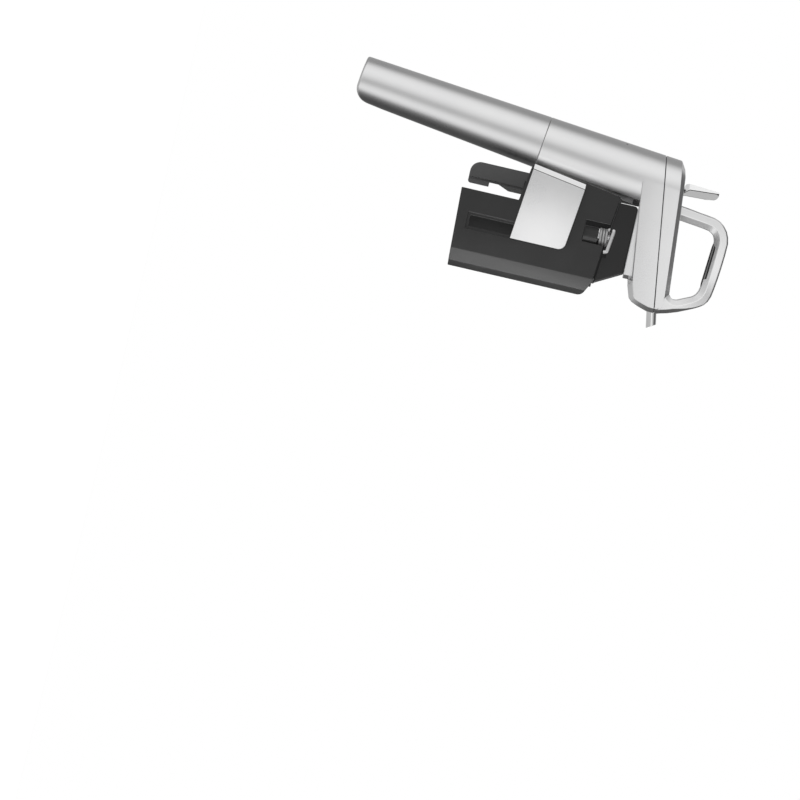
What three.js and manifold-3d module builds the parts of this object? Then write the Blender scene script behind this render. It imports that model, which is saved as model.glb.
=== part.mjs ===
// Wine preservation dispenser: a hand-held head with a gas handle, a hollow needle and a spout,
// which slides on a clamp with two sprung arms.
// Millimetres, +Z up along the needle, origin on the needle, level with the clamp's seat,
// +X towards the spout, and the left arm on the +Y side.
import * as THREE from "three";
import { mergeVertices } from "three/addons/utils/BufferGeometryUtils.js";
import Module from "manifold-3d";

const wasm = await Module();
wasm.setup();

// Clearances that the whole assembly shares
const seatGap = 0.3;
const runningGap = 0.08;
const overrun = 2;

// Round that the clamp grips, and how far down it reaches
const neckRadius = 14.4;
const clampReach = 78.8;

// Handle: cup and barrel on one tapering axis, leaning away from the needle
const handleSetback = 53.1;
const handleTilt = THREE.MathUtils.degToRad(6.7);
const handleTaper = THREE.MathUtils.degToRad(1.23);
const handleRadius = 15.5;
const barrelDrop = 41.4;
const cupLength = 105.9;
const cupWall = 1.5;
const cupFloor = 2.2;
const cupRound = 8;
const cupEdge = 1.2;

// Gas capsule and what it meets
const capsuleRadius = 9.3;
const capsuleLength = 83;
const capsuleNeckRadius = 4.4;
const capsuleNeckLength = 6.5;
const capsuleShoulder = 9;
const padThickness = 2.4;
const collarLength = 18;
const collarWall = 1.5;
const regulatorRadius = 10.4;
const regulatorLength = 49;
const sealThickness = 1.5;
const piercerRadius = 0.8;
const pistonRadius = 5.6;
const regulatorWire = 0.6;
const regulatorCurls = 7;

// Head: barrel end, column and front cover, split at a sloping seam
const headReach = 85.2;
const noseX = 19.6;
const columnFoot = 13.7;
const noseFoot = 23.1;
const noseRound = 8;
const seamBack = 26.6;
const seamFront = 39;
const coverBack = 38.6;
const coverFront = 45.8;
const coverRound = 5;
const headHalfWidth = 15.6;
const noseHalfWidth = 12;
const edgeBevel = 2.2;
const bossHalfWidth = 10;
const bossFront = 3.2;

// Finger loop
const loopFar = 71;
const loopTop = -41.2;
const loopTopHalfWidth = 6.5;
const gripThickness = 2.2;
const gripHalfWidth = 4.6;
const gripStartShare = 0.2;
const gripEndShare = 0.88;

// Needle, its hub and the way to the spout
const needleRadius = 1;
const needleBore = 0.45;
const needleReach = 53;
const hubRadius = 4;
const hubLength = 8;
const sealRingRadius = 0.8;
const spoutRadius = 2.45;
const spoutBore = 1.7;
const spoutTilt = THREE.MathUtils.degToRad(10.6);
const spoutSocket = 13.2;
const spoutEndX = 26.6;
const spoutEndSlant = 2.3;
const spoutHeight = 37.9;

// Trigger and valve
const triggerHalfWidth = 6.5;
const triggerPivotX = -49;
const triggerPivotZ = 29;
const triggerPinRadius = 1.5;
const triggerTip = 59.4;
const triggerThickness = 6.4;
const valveArm = 7;
const valveRadius = 3.6;
const valveFoot = 13.5;
const valveLength = 10.5;
const stemRadius = 1.2;
const buttonRadius = 2.6;
const buttonThickness = 1;
const stemSeat = 2;
const valveWire = 0.3;
const gasLineRadius = 1.2;
const gasLineHeight = 21.4;

// Rail and its screws
const railBack = 39.9;
const railFront = 27.5;
const railHalfWidth = 5.5;
const railGroove = 1.4;
const railGrooveDepth = 1.2;
const railTongue = 2.2;
const railFoot = 76.5;
const railTop = 8;
const railNotch = 2.4;
const railNotchShares = [0.138, 0.2, 0.27];
const railFootRound = 5.7;
const railScrewLength = 8;
const screwRadius = 1.5;
const screwHeadRadius = 2.6;
const screwHeadHeight = 2;

// Clamp base
const baseTop = 17.8;
const baseRear = 35.1;
const baseHalfWidth = 18;
const baseFrontTop = 2.6;
const baseFrontFoot = 10.8;
const spineHalfWidth = 8.5;
const spineFront = 19;
const spineFoot = 46;
const lugThickness = 5.6;
const padRingOuter = 13.4;
const padRingInner = 4.6;
const padRingThickness = 2;
const guideRadius = 3.2;

// Clamp arms, pins, springs and plates
const armOuter = 20;
const armWall = 4;
const armFront = 19;
const armChamferStart = 8.9;
const armChamferEnd = 17.2;
const armChamferDrop = 4.6;
const armSplit = 1.2;
const leverReach = 45;
const leverTopShare = 0.849;
const leverEdgeShares = [[0.92, 0.267], [1, 0.908], [0.991, 0.932]];
const wristX = 24.3;
const wristDrop = 46.9;
const armFrontFootShare = 0.977;
const armTopFront = 2.1;
const armTopRear = 7.1;
const armTopCurve = 1.6;
const windowBack = 10.4;
const windowFront = 4.4;
const windowFootShare = 0.895;
const windowTopShare = 0.584;
const recessMargin = 1.6;
const pocketBack = 7.4;
const pocketFront = 4.7;
const pocketDepth = 8.4;
const hingeX = -14.8;
const hingeY = 13.5;
const pinRadius = 2;
const knuckleRadius = 4.5;
const armClearance = 0.8;
const springRadius = 4.3;
const springWire = 0.55;
const springCurls = 3;
const springPitch = 1.55;
const plateThickness = 0.8;
const plateFront = 2.9;
const plateTop = 12.9;
const plateRound = 3.1;
const plateTopShare = 0.904;
const plateLap = 0.6;
const gripPadThickness = 1.2;
const padStart = THREE.MathUtils.degToRad(20);
const padEnd = THREE.MathUtils.degToRad(142);
const padFootShare = 0.94;
const padTopShare = 0.6;

// Finishes
const finish = (color, roughness, metalness) =>
  new THREE.MeshStandardMaterial({ color, roughness, metalness });
const satin = finish(0xc9c9ca, 0.36, 1);
const polished = finish(0xdcdcdc, 0.15, 1);
const steel = finish(0xa9abad, 0.3, 1);
const brass = finish(0xb08d4f, 0.35, 1);
const blackNylon = finish(0x343435, 0.55, 0);
const rubber = finish(0x1d1d1d, 0.8, 0);

// Solids, made from three.js geometries
function solid(geometry) {
  const bare = geometry.clone();
  bare.deleteAttribute("normal");
  bare.deleteAttribute("uv");
  const merged = mergeVertices(bare, 1e-4);
  const vertProperties = merged.attributes.position.array;
  const triVerts = new Uint32Array(merged.index.array);
  return new wasm.Manifold(new wasm.Mesh({ numProp: 3, vertProperties, triVerts }));
}

function geometryOf(made) {
  const mesh = made.getMesh();
  const geometry = new THREE.BufferGeometry();
  geometry.setAttribute("position", new THREE.BufferAttribute(mesh.vertProperties, 3));
  geometry.setIndex(new THREE.BufferAttribute(mesh.triVerts, 1));
  geometry.computeVertexNormals();
  return geometry;
}

const joined = (...solids) => solids.reduce((all, next) => all.add(next));
const cut = (body, ...tools) => tools.reduce((left, tool) => left.subtract(tool), body);

function piece(parent, name, made, look) {
  const mesh = new THREE.Mesh(geometryOf(made), look);
  mesh.name = name;
  parent.add(mesh);
  return mesh;
}

// Round bars between two ends: along Z at (x, y), along X at (y, z), along Y at (x, z)
function rodZ(radius, bottom, top, x = 0, y = 0, sides = 24) {
  const bar = new THREE.CylinderGeometry(radius, radius, top - bottom, sides);
  return solid(bar.rotateX(Math.PI / 2).translate(x, y, (bottom + top) / 2));
}

function rodX(radius, start, end, y, z, sides = 16) {
  const bar = new THREE.CylinderGeometry(radius, radius, end - start, sides);
  return solid(bar.rotateZ(-Math.PI / 2).translate((start + end) / 2, y, z));
}

function rodY(radius, start, end, x, z, sides = 20) {
  const bar = new THREE.CylinderGeometry(radius, radius, end - start, sides);
  return solid(bar.translate(x, (start + end) / 2, z));
}

// A profile of [radius, height] pairs, turned about Z
function turned(profile, sides = 40) {
  const points = profile.map(([radius, height]) => new THREE.Vector2(radius, height));
  return solid(new THREE.LatheGeometry(points, sides).rotateX(Math.PI / 2));
}

const block = (x0, x1, y0, y1, z0, z1) =>
  solid(
    new THREE.BoxGeometry(x1 - x0, y1 - y0, z1 - z0)
      .translate((x0 + x1) / 2, (y0 + y1) / 2, (z0 + z1) / 2));

// Points of an outline whose corners [x, y, radius] are rounded by arcs
function roundedPoints(corners, arcStep = Math.PI / 12) {
  return corners.flatMap(([x, y, radius = 0], index) => {
    const corner = new THREE.Vector2(x, y);
    if (!radius) return [corner];
    const count = corners.length;
    const before = new THREE.Vector2(...corners[(index + count - 1) % count]).sub(corner).normalize();
    const after = new THREE.Vector2(...corners[(index + 1) % count]).sub(corner).normalize();
    const half = Math.acos(before.dot(after)) / 2;
    const middle = before.clone().add(after).normalize();
    const centre = corner.clone().addScaledVector(middle, radius / Math.sin(half));
    const start = corner.clone().addScaledVector(before, radius / Math.tan(half)).sub(centre);
    const end = corner.clone().addScaledVector(after, radius / Math.tan(half)).sub(centre);
    const sweep = Math.atan2(start.cross(end), start.dot(end));
    const steps = Math.max(2, Math.ceil(Math.abs(sweep) / arcStep));
    return Array.from({ length: steps + 1 }, (_, step) =>
      start.clone().rotateAround(new THREE.Vector2(), (sweep * step) / steps).add(centre));
  });
}

function shapeOf(corners, holes = []) {
  const outer = roundedPoints(corners);
  const shape = new THREE.Shape(outer);
  const sameWay = (points) => THREE.ShapeUtils.isClockWise(points) === THREE.ShapeUtils.isClockWise(outer);
  const edges = holes.map((hole) => roundedPoints(hole));
  shape.holes = edges.map((points) => new THREE.Path(sameWay(points) ? points.reverse() : points));
  return shape;
}

// An outline in X and Z, extruded along Y between two widths, with an optional edge bevel
function sidePrism(corners, from, to, bevel = 0, holes = []) {
  const options = { depth: to - from - 2 * bevel, bevelEnabled: bevel > 0, bevelSegments: 1 };
  Object.assign(options, { bevelSize: bevel, bevelThickness: bevel, bevelOffset: -bevel });
  const prism = new THREE.ExtrudeGeometry(shapeOf(corners, holes), options);
  return prism.rotateX(Math.PI / 2).translate(0, to - bevel, 0);
}

// An outline in X and Y, extruded along Z
function planPrism(corners, bottom, top) {
  const prism = new THREE.ExtrudeGeometry(shapeOf(corners), { depth: top - bottom, bevelEnabled: false });
  return solid(prism.translate(0, 0, bottom));
}

// Narrows a prism evenly in Y, from one half width at startX to another at endX
function flared(geometry, startX, startHalf, endX, endHalf) {
  const place = geometry.attributes.position;
  for (let index = 0; index < place.count; index += 1) {
    const share = (place.getX(index) - startX) / (endX - startX);
    const half = startHalf + share * (endHalf - startHalf);
    place.setY(index, (place.getY(index) * half) / startHalf);
  }
  return geometry;
}

const mirroredY = (made) => {
  const mesh = made.getMesh();
  const vertProperties = mesh.vertProperties.map((value, index) => (index % 3 === 1 ? -value : value));
  const triVerts = mesh.triVerts.slice().reverse();
  return new wasm.Manifold(new wasm.Mesh({ numProp: 3, vertProperties, triVerts }));
};

// A wound wire: straight for a lead at each end, curls by formula between
function springPath(radius, wire, curls, pitch, lead) {
  const stepsPerCurl = 8;
  const count = curls * stepsPerCurl;
  const helix = Array.from({ length: count + 1 }, (_, step) => {
    const angle = (2 * Math.PI * step) / stepsPerCurl;
    const rise = (pitch * step) / stepsPerCurl;
    return new THREE.Vector3(radius * Math.sin(angle), -radius * Math.cos(angle), rise);
  });
  const first = helix[0].clone().add(new THREE.Vector3(-2 * wire, 0, 0));
  const last = helix[count].clone().add(new THREE.Vector3(lead, 0, 0));
  return [first, ...helix, last];
}

function springGap(path, wire) {
  const apart = 5;
  let least = Infinity;
  path.forEach((point, index) => {
    path.slice(index + apart).forEach((other) => {
      least = Math.min(least, point.distanceTo(other) - 2 * wire);
    });
  });
  return least;
}

function spring(name, radius, wire, curls, pitch, lead = 2 * wire) {
  const path = springPath(radius, wire, curls, pitch, lead);
  console.log(name + " least gap " + springGap(path, wire).toFixed(2) + " mm");
  const sides = 5;
  const vertices = [];
  const faces = [];
  path.forEach((point, index) => {
    const ahead = path[Math.min(index + 1, path.length - 1)];
    const behind = path[Math.max(index - 1, 0)];
    const forward = ahead.clone().sub(behind).normalize();
    const up = new THREE.Vector3(0, 0, 1).addScaledVector(forward, -forward.z).normalize();
    const out = forward.clone().cross(up);
    for (let side = 0; side < sides; side += 1) {
      const angle = (2 * Math.PI * side) / sides;
      const rim = point.clone().addScaledVector(up, wire * Math.cos(angle));
      vertices.push(...rim.addScaledVector(out, wire * Math.sin(angle)).toArray());
    }
  });
  for (let ring = 0; ring + 1 < path.length; ring += 1) {
    for (let side = 0; side < sides; side += 1) {
      const a = ring * sides + side;
      const b = ring * sides + ((side + 1) % sides);
      faces.push(a, b, b + sides, a, b + sides, a + sides);
    }
  }
  const end = (path.length - 1) * sides;
  for (let side = 1; side + 1 < sides; side += 1) {
    faces.push(0, side + 1, side);
    faces.push(end, end + side, end + side + 1);
  }
  const geometry = new THREE.BufferGeometry();
  geometry.setAttribute("position", new THREE.Float32BufferAttribute(vertices, 3));
  return geometry.setIndex(faces);
}

// The handle's own frame: its Z runs up the tube's axis from the lip's level
const dispenser = new THREE.Group();
const handle = new THREE.Group();
handle.position.set(-handleSetback, 0, 0);
handle.rotation.y = handleTilt;
handle.updateMatrix();
dispenser.add(handle);

const inWorld = (made) => solid(geometryOf(made).applyMatrix4(handle.matrix));
const tubeRadius = (height) => handleRadius + height * Math.tan(handleTaper);

// Heights along the handle, from the cup's end up
const barrelMouth = -barrelDrop;
const cupEnd = barrelMouth - cupLength;
const padFoot = cupEnd + cupFloor + seatGap;
const capsuleFoot = padFoot + padThickness + seatGap;
const capsuleTop = capsuleFoot + capsuleLength;
const sealFoot = capsuleTop + seatGap;
const sealTop = sealFoot + sealThickness;
const piercerFlange = 2;
const piercerSeat = sealTop + seatGap;
const regulatorSocket = 2.6;
const regulatorFoot = capsuleTop - regulatorSocket;
const regulatorTop = regulatorFoot + regulatorLength;
const chamberRadius = regulatorRadius - collarWall - seatGap;
const chamberFoot = piercerSeat + piercerFlange + 4 * seatGap + sealThickness;
const collarFoot = barrelMouth - collarLength / 2;
const collarTop = collarFoot + collarLength;

function capsuleCup() {
  const end = cupEnd;
  const mouth = barrelMouth;
  const base = tubeRadius(end);
  const crown = cupEdge / 2;
  const roundSteps = 5;
  const corner = Array.from({ length: roundSteps + 1 }, (_, step) => {
    const angle = (Math.PI / 2) * (step / roundSteps);
    const across = base - cupEdge * 2 + cupEdge * 2 * Math.sin(angle);
    return [across, end + cupEdge * 2 - cupEdge * 2 * Math.cos(angle)];
  });
  const floor = end + cupFloor;
  const dome = [[0, end - crown / 2], [base / 2, end - crown / 4]];
  const outside = [...dome, ...corner, [tubeRadius(mouth), mouth]];
  const inside = [[tubeRadius(mouth) - cupWall, mouth], [tubeRadius(floor) - cupWall, floor], [0, floor]];
  return cut(turned([...outside, ...inside], 48), cupScarf(end, base));
}

// The front of the cup's end is rounded away, seen from the side
function cupScarf(end, base) {
  const centreX = base - cupRound;
  const centreZ = end + cupRound - cupEdge / 4;
  return cut(
    block(centreX, base + overrun, -handleRadius, handleRadius, end - overrun, centreZ),
    rodY(cupRound, -handleRadius - overrun, handleRadius + overrun, centreX, centreZ, 64));
}

function gasCapsule() {
  const neckFoot = capsuleTop - capsuleNeckLength;
  const shoulderFoot = neckFoot - capsuleShoulder;
  const rimSteps = 4;
  const dome = Array.from({ length: rimSteps + 1 }, (_, step) => {
    const angle = (Math.PI / 2) * (step / rimSteps);
    return [capsuleRadius * Math.sin(angle), capsuleFoot + capsuleRadius / 2 * (1 - Math.cos(angle))];
  });
  const shoulder = Array.from({ length: rimSteps }, (_, step) => {
    const share = (step + 1) / rimSteps;
    const swell = 0.5 + 0.5 * Math.cos(Math.PI * share);
    const across = capsuleNeckRadius + (capsuleRadius - capsuleNeckRadius) * swell;
    return [across, shoulderFoot + capsuleShoulder * share];
  });
  const mouthRadius = capsuleNeckRadius / 3;
  const mouthFoot = capsuleTop - capsuleNeckLength / 2;
  return turned([
    ...dome, [capsuleRadius, shoulderFoot], ...shoulder, [capsuleNeckRadius, capsuleTop],
    [mouthRadius, capsuleTop], [mouthRadius, mouthFoot], [0, mouthFoot],
  ], 32);
}

const ring = (inner, outer, foot, top, sides = 32) =>
  turned([[inner, foot], [outer, foot], [outer, top], [inner, top], [inner, foot]], sides);

function regulatorBody() {
  const socketRadius = capsuleNeckRadius + seatGap;
  const flangeRadius = socketRadius - 3 * seatGap;
  const flangeTop = piercerSeat + piercerFlange + seatGap;
  return cut(
    rodZ(regulatorRadius, regulatorFoot, regulatorTop, 0, 0, 32),
    rodZ(socketRadius, regulatorFoot - overrun, piercerSeat, 0, 0, 24),
    rodZ(flangeRadius, piercerSeat - overrun, flangeTop, 0, 0, 24),
    rodZ(piercerRadius, flangeTop - overrun, chamberFoot + overrun, 0, 0, 12),
    rodZ(chamberRadius, chamberFoot, regulatorTop + overrun, 0, 0, 32));
}

function piercer() {
  const flangeRadius = capsuleNeckRadius - 3 * seatGap;
  const flangeTop = piercerSeat + piercerFlange;
  const point = capsuleTop - sealThickness;
  return turned([
    [0, point], [piercerRadius, point + sealThickness], [piercerRadius, piercerSeat + seatGap],
    [flangeRadius, piercerSeat + seatGap], [flangeRadius, flangeTop], [0, flangeTop],
  ], 20);
}

function buildHandle() {
  const capsuleClear = capsuleNeckRadius - seatGap;
  piece(handle, "capsule_cup", capsuleCup(), satin);
  piece(handle, "cup_pad", rodZ(capsuleRadius, padFoot, padFoot + padThickness, 0, 0, 32), rubber);
  piece(handle, "gas_capsule", gasCapsule(), steel);
  piece(handle, "capsule_seal", ring(capsuleClear / 2, capsuleClear, sealFoot, sealTop, 24), rubber);
  piece(handle, "piercer", piercer(), steel);
  piece(handle, "regulator_body", regulatorBody(), brass);
  const collarInner = regulatorRadius + seatGap;
  const collar = ring(collarInner, collarInner + collarWall, collarFoot, collarTop, 48);
  piece(handle, "thread_collar", collar, brass);
  const pistonFoot = chamberFoot + 2 * seatGap;
  const pistonTop = pistonFoot + capsuleNeckRadius;
  const pistonAcross = chamberRadius - 2 * runningGap;
  const guideTop = pistonTop + pistonRadius;
  piece(handle, "regulator_piston", turned([
    [0, pistonFoot], [pistonAcross, pistonFoot], [pistonAcross, pistonTop],
    [pistonRadius / 2, pistonTop], [pistonRadius / 2, guideTop], [0, guideTop],
  ], 32), brass);
  const springFoot = pistonTop + regulatorWire + seatGap;
  const springRun = regulatorTop - springFoot - regulatorWire - seatGap;
  const pitch = springRun / regulatorCurls;
  const coil = spring("regulator_spring", pistonRadius, regulatorWire, regulatorCurls, pitch);
  piece(handle, "regulator_spring", solid(coil.translate(0, 0, springFoot)), steel);
}

// Lines of the head, seen from the side
const noseSpan = noseX + handleSetback;
const backEdge = (height) => {
  const low = new THREE.Vector3(-tubeRadius(0), 0, 0).applyMatrix4(handle.matrix);
  const high = new THREE.Vector3(-tubeRadius(coverBack), 0, coverBack).applyMatrix4(handle.matrix);
  return low.x + ((height - low.z) / (high.z - low.z)) * (high.x - low.x);
};
const headBackX = noseX - headReach;
const seamSlope = (seamFront - seamBack) / headReach;
const seamLine = (x) => seamBack + (x - headBackX) * seamSlope;
const coverSlope = (coverFront - coverBack) / (headReach - noseRound / 3);
const coverLine = (x) => coverBack + (x - headBackX) * coverSlope;
const columnLine = (x) => columnFoot + ((x + handleSetback) / noseSpan) * (noseFoot - columnFoot);
const bossFoot = baseTop + seatGap;
const farSide = headReach + cupLength;

function barrelSolid() {
  const top = coverFront + overrun;
  const foot = barrelMouth + seatGap;
  const profile = [[0, foot], [tubeRadius(foot), foot], [tubeRadius(top), top], [0, top]];
  return inWorld(turned(profile, 48));
}

// The barrel under the cover's front, with its upper back corner rounded
function barrelEnd() {
  const lowX = backEdge(-farSide);
  const outline = [
    [lowX, -farSide], [farSide, -farSide], [farSide, coverLine(farSide)],
    [backEdge(coverBack), coverBack, coverRound],
  ];
  return barrelSolid().intersect(solid(sidePrism(outline, -farSide, farSide)));
}

function columnSolid() {
  const startX = -handleSetback + seatGap;
  const outline = [
    [startX, columnLine(startX)], [noseX - edgeBevel, columnLine(noseX), noseRound],
    [noseX, seamFront + seatGap], [noseX - edgeBevel, coverLine(noseX) - seatGap],
    [startX, coverLine(startX)],
  ];
  const prism = sidePrism(outline, -headHalfWidth, headHalfWidth, edgeBevel);
  return solid(flared(prism, startX, headHalfWidth, noseX, noseHalfWidth));
}

function bossSolid() {
  const back = -handleSetback + handleRadius;
  const front = bossFront + edgeBevel / 2;
  const top = noseFoot + edgeBevel;
  const outline = [
    [back, bossFoot], [front - edgeBevel, bossFoot], [front, bossFoot + edgeBevel], [front, top], [back, top],
  ];
  return solid(sidePrism(outline, -bossHalfWidth, bossHalfWidth));
}

// Outline of the loop in shares of its box: along X from its top, along Z from its foot, and corner radius
const loopFoot = seamFront - seatGap;
const loopRise = loopFar - loopFoot;
const loopSpan = noseX - loopTop;
const loopOuterShares = [
  [0, -0.3, 0], [0, 0, 0], [0.064, 1, 0.31], [0.829, 0.9, 0.22], [0.985, 0, 0], [0.95, -0.3, 0],
];
const loopInnerShares = [
  [0.1316, 0.055, 0], [0.168, 0.756, 0.16], [0.735, 0.685, 0.15], [0.859, 0.2, 0.09], [0.72, 0.13, 0],
];
const loopPoint = ([along, up, round]) =>
  [loopTop + along * loopSpan, loopFoot + up * loopRise, round * loopRise];

function loopSolid() {
  const outer = loopOuterShares.map(loopPoint);
  const inner = loopInnerShares.map(loopPoint);
  const half = loopTopHalfWidth;
  const prism = sidePrism(outer, -half, half, edgeBevel, [inner]);
  return solid(flared(prism, loopTop, half, noseX, noseHalfWidth));
}

// The strip on the loop's far arm lies in a shallow seat
function gripSolid(room) {
  const [topShare, footShare] = [loopInnerShares[1], loopInnerShares[2]];
  const [topX, topZ] = loopPoint(topShare);
  const [footX, footZ] = loopPoint(footShare);
  const startX = topX + (footX - topX) * gripStartShare;
  const endX = topX + (footX - topX) * gripEndShare;
  const faceAt = (x) => topZ + ((x - topX) / (footX - topX)) * (footZ - topZ);
  const proud = gripThickness / 4 + room;
  const deep = gripThickness + room;
  const outline = [
    [startX - room, faceAt(startX) - proud], [endX + room, faceAt(endX) - proud],
    [endX + room, faceAt(endX) + deep], [startX - room, faceAt(startX) + deep],
  ];
  return solid(sidePrism(outline, -gripHalfWidth - room, gripHalfWidth + room));
}

// Places inside the head
const valveX = triggerPivotX + valveArm;
const valveTop = valveFoot + valveLength;
const valveBoreRadius = valveRadius + runningGap;
const springBoreRadius = valveRadius - 2 * seatGap;
const springBoreDepth = valveLength / 3;
const armThickness = 2.6;
const armUnderside = triggerPivotZ - armThickness / 2;
const buttonTop = armUnderside - seatGap;
const hubFoot = bossFoot + seatGap;
const hubTop = hubFoot + hubLength;
const spoutRise = Math.tan(spoutTilt);
const wineHeight = spoutHeight - noseX * spoutRise;
const ringCentre = hubTop + seatGap + sealRingRadius;
const wineFoot = ringCentre + sealRingRadius + seatGap;
const wineRadius = 1.6;
const wineBore = 0.9;
const spoutStart = noseX - spoutSocket;
const pocketHalf = triggerHalfWidth + seatGap * 1.5;
const triggerHubRadius = 3.6;
const triggerSpringRadius = 2.6;
const triggerWire = 0.35;
const triggerCurls = 3;
const triggerPitch = 1.2;
const triggerSpringRoom = triggerSpringRadius + triggerWire + seatGap * 1.5;
const triggerSpringEnd = pocketHalf + triggerCurls * triggerPitch + 4 * triggerWire;
const pinHalfLength = 13;
const screwDrop = 4.5;
const coverScrewX = -20;
const coverScrewY = 6.2;
const screwLength = 14;

function sweptRod(radius, points, sides = 12) {
  const along = points.map((point) => new THREE.Vector3(...point));
  const path = new THREE.CatmullRomCurve3(along, false, "catmullrom", 0);
  const section = new THREE.Shape();
  section.absarc(0, 0, radius, 0, 2 * Math.PI);
  const options = { steps: points.length * 6, extrudePath: path, curveSegments: sides / 2 };
  return solid(new THREE.ExtrudeGeometry(section, options));
}

function winePath(startZ, endX) {
  const rise = (x) => wineHeight + x * spoutRise;
  const bend = 2 * wineRadius;
  return [
    [0, 0, startZ], [0, 0, rise(0) - bend], [bend / 4, 0, rise(0) - bend / 4], [bend, 0, rise(bend)],
    [endX, 0, rise(endX)],
  ];
}

// A bar along the spout's own axis, from one X to another
function spoutBar(radius, startX, endX, sides = 24) {
  const length = (endX - startX) / Math.cos(spoutTilt);
  const bar = new THREE.CylinderGeometry(radius, radius, length, sides).rotateZ(-Math.PI / 2);
  const middle = (startX + endX) / 2;
  return solid(bar.rotateY(-spoutTilt).translate(middle, 0, wineHeight + middle * spoutRise));
}

function triggerPocket() {
  const left = triggerPivotX - triggerHubRadius - 2 * seatGap;
  const right = valveX + buttonRadius + 2 * seatGap;
  const slotLeft = triggerPivotX - armThickness;
  const slotRight = triggerPivotX + triggerThickness * 0.72;
  const slotFoot = triggerPivotZ + armThickness * 2;
  const slotTop = coverFront + overrun;
  const outline = [
    [left, valveTop], [right, valveTop], [right, triggerPivotZ + armThickness * 1.3], [slotRight, slotFoot],
    [slotRight, slotTop], [slotLeft, slotTop], [slotLeft, slotFoot], [left, triggerPivotZ + armThickness],
  ];
  return solid(sidePrism(outline, -pocketHalf, pocketHalf));
}

function screwRoom(x, y, foot) {
  const headTop = foot + screwHeadHeight + seatGap;
  return joined(
    rodZ(screwHeadRadius + seatGap, foot - screwDrop, headTop, x, y, 20),
    rodZ(screwRadius + seatGap / 3, foot, foot + screwHeadHeight + screwLength + seatGap, x, y, 16));
}

const railScrewFoot = -railFront - railTongue - railGroove - seatGap;
const railScrewHeights = [-4, 3.5];

function railScrewRoom(z) {
  const headBack = railScrewFoot - screwHeadHeight - seatGap;
  return joined(
    rodX(screwHeadRadius + seatGap, headBack, -railFront + overrun, 0, z, 20),
    rodX(screwRadius + seatGap / 3, headBack - railScrewLength - overrun, headBack + overrun, 0, z, 16));
}

function headRooms() {
  const bore = regulatorRadius + seatGap;
  const collarBore = bore + collarWall + seatGap;
  const passageX = -handleSetback + valveFoot * Math.tan(handleTilt);
  const passageZ = valveFoot + 2 * gasLineRadius;
  const pinEnd = pinHalfLength + seatGap;
  return [
    inWorld(rodZ(bore, barrelMouth - overrun, regulatorTop + seatGap, 0, 0, 32)),
    inWorld(rodZ(collarBore, barrelMouth - overrun, collarTop + seatGap, 0, 0, 48)),
    inWorld(rodZ(gasLineRadius, regulatorTop, passageZ + gasLineRadius, 0, 0, 12)),
    rodX(gasLineRadius - seatGap, passageX, valveX, 0, passageZ, 12),
    rodZ(valveBoreRadius, valveFoot - seatGap, valveTop + overrun, valveX, 0, 24),
    rodX(gasLineRadius + runningGap, valveX, 0, 0, gasLineHeight, 12),
    rodZ(hubRadius + runningGap, bossFoot - overrun, hubTop + seatGap, 0, 0, 24),
    rodZ(hubRadius - 3 * seatGap, hubTop, wineFoot, 0, 0, 24),
    sweptRod(wineRadius + seatGap, winePath(wineFoot - overrun, spoutStart)),
    spoutBar(spoutRadius + runningGap, spoutStart - seatGap, spoutEndX + overrun),
    triggerPocket(),
    rodY(triggerPinRadius + runningGap, -pinEnd, pinEnd, triggerPivotX, triggerPivotZ),
    rodY(triggerSpringRoom, pocketHalf - overrun, triggerSpringEnd, triggerPivotX, triggerPivotZ),
    screwRoom(coverScrewX, coverScrewY, hubFoot),
    screwRoom(coverScrewX, -coverScrewY, hubFoot),
  ];
}

function spoutSolid() {
  const tip = spoutEndX + spoutEndSlant * 2;
  const heightAt = wineHeight + spoutEndX * spoutRise;
  const above = heightAt + 2 * spoutRadius;
  const below = heightAt - 2 * spoutRadius;
  const outline = [
    [tip, above], [tip, below], [tip - spoutEndSlant / 2, below], [spoutEndX - spoutEndSlant, above],
  ];
  return cut(
    spoutBar(spoutRadius, spoutStart + seatGap, spoutEndX + spoutEndSlant),
    spoutBar(spoutBore, spoutStart - overrun, spoutEndX + 2 * spoutEndSlant),
    solid(sidePrism(outline, -2 * spoutRadius, 2 * spoutRadius)));
}

function triggerSolid() {
  const pivotX = triggerPivotX;
  const pivotZ = triggerPivotZ;
  const leverLeft = pivotX - armThickness * 0.85;
  const leverRight = pivotX + armThickness * 0.8;
  const outLine = coverLine(pivotX) + seatGap * 3;
  const crownX = leverRight - triggerThickness;
  const half = triggerHalfWidth;
  const lever = [
    [leverLeft, pivotZ], [leverRight, pivotZ], [leverRight, triggerTip - triggerThickness],
    [leverRight - armThickness / 2, triggerTip - armThickness / 2, seatGap * 2],
    [leverRight - triggerThickness * 0.6, triggerTip],
    [crownX + edgeBevel / 4, triggerTip, seatGap * 2], [crownX, outLine + armThickness * 0.8, seatGap * 2],
    [leverLeft, outLine],
  ];
  const arm = [
    [pivotX, armUnderside], [valveX + buttonRadius * 0.65, armUnderside],
    [valveX + buttonRadius * 0.65, pivotZ + armThickness / 3], [pivotX, pivotZ + armThickness],
  ];
  return cut(
    joined(
      rodY(triggerHubRadius, -half, half, pivotX, pivotZ, 24),
      solid(sidePrism(lever, -half, half, seatGap)),
      solid(sidePrism(arm, -half / 2, half / 2))),
    rodY(triggerPinRadius + runningGap, -half - overrun, half + overrun, pivotX, pivotZ));
}

function screwZ(x, y, foot, sides = 16) {
  const headTop = foot + screwHeadHeight;
  const driveRadius = screwHeadRadius / 2;
  return cut(
    joined(
      rodZ(screwHeadRadius, foot, headTop, x, y, sides),
      rodZ(screwRadius, headTop - seatGap, headTop + screwLength, x, y, sides)),
    rodZ(driveRadius, foot - overrun, foot + screwHeadHeight / 2, x, y, 6));
}

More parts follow.
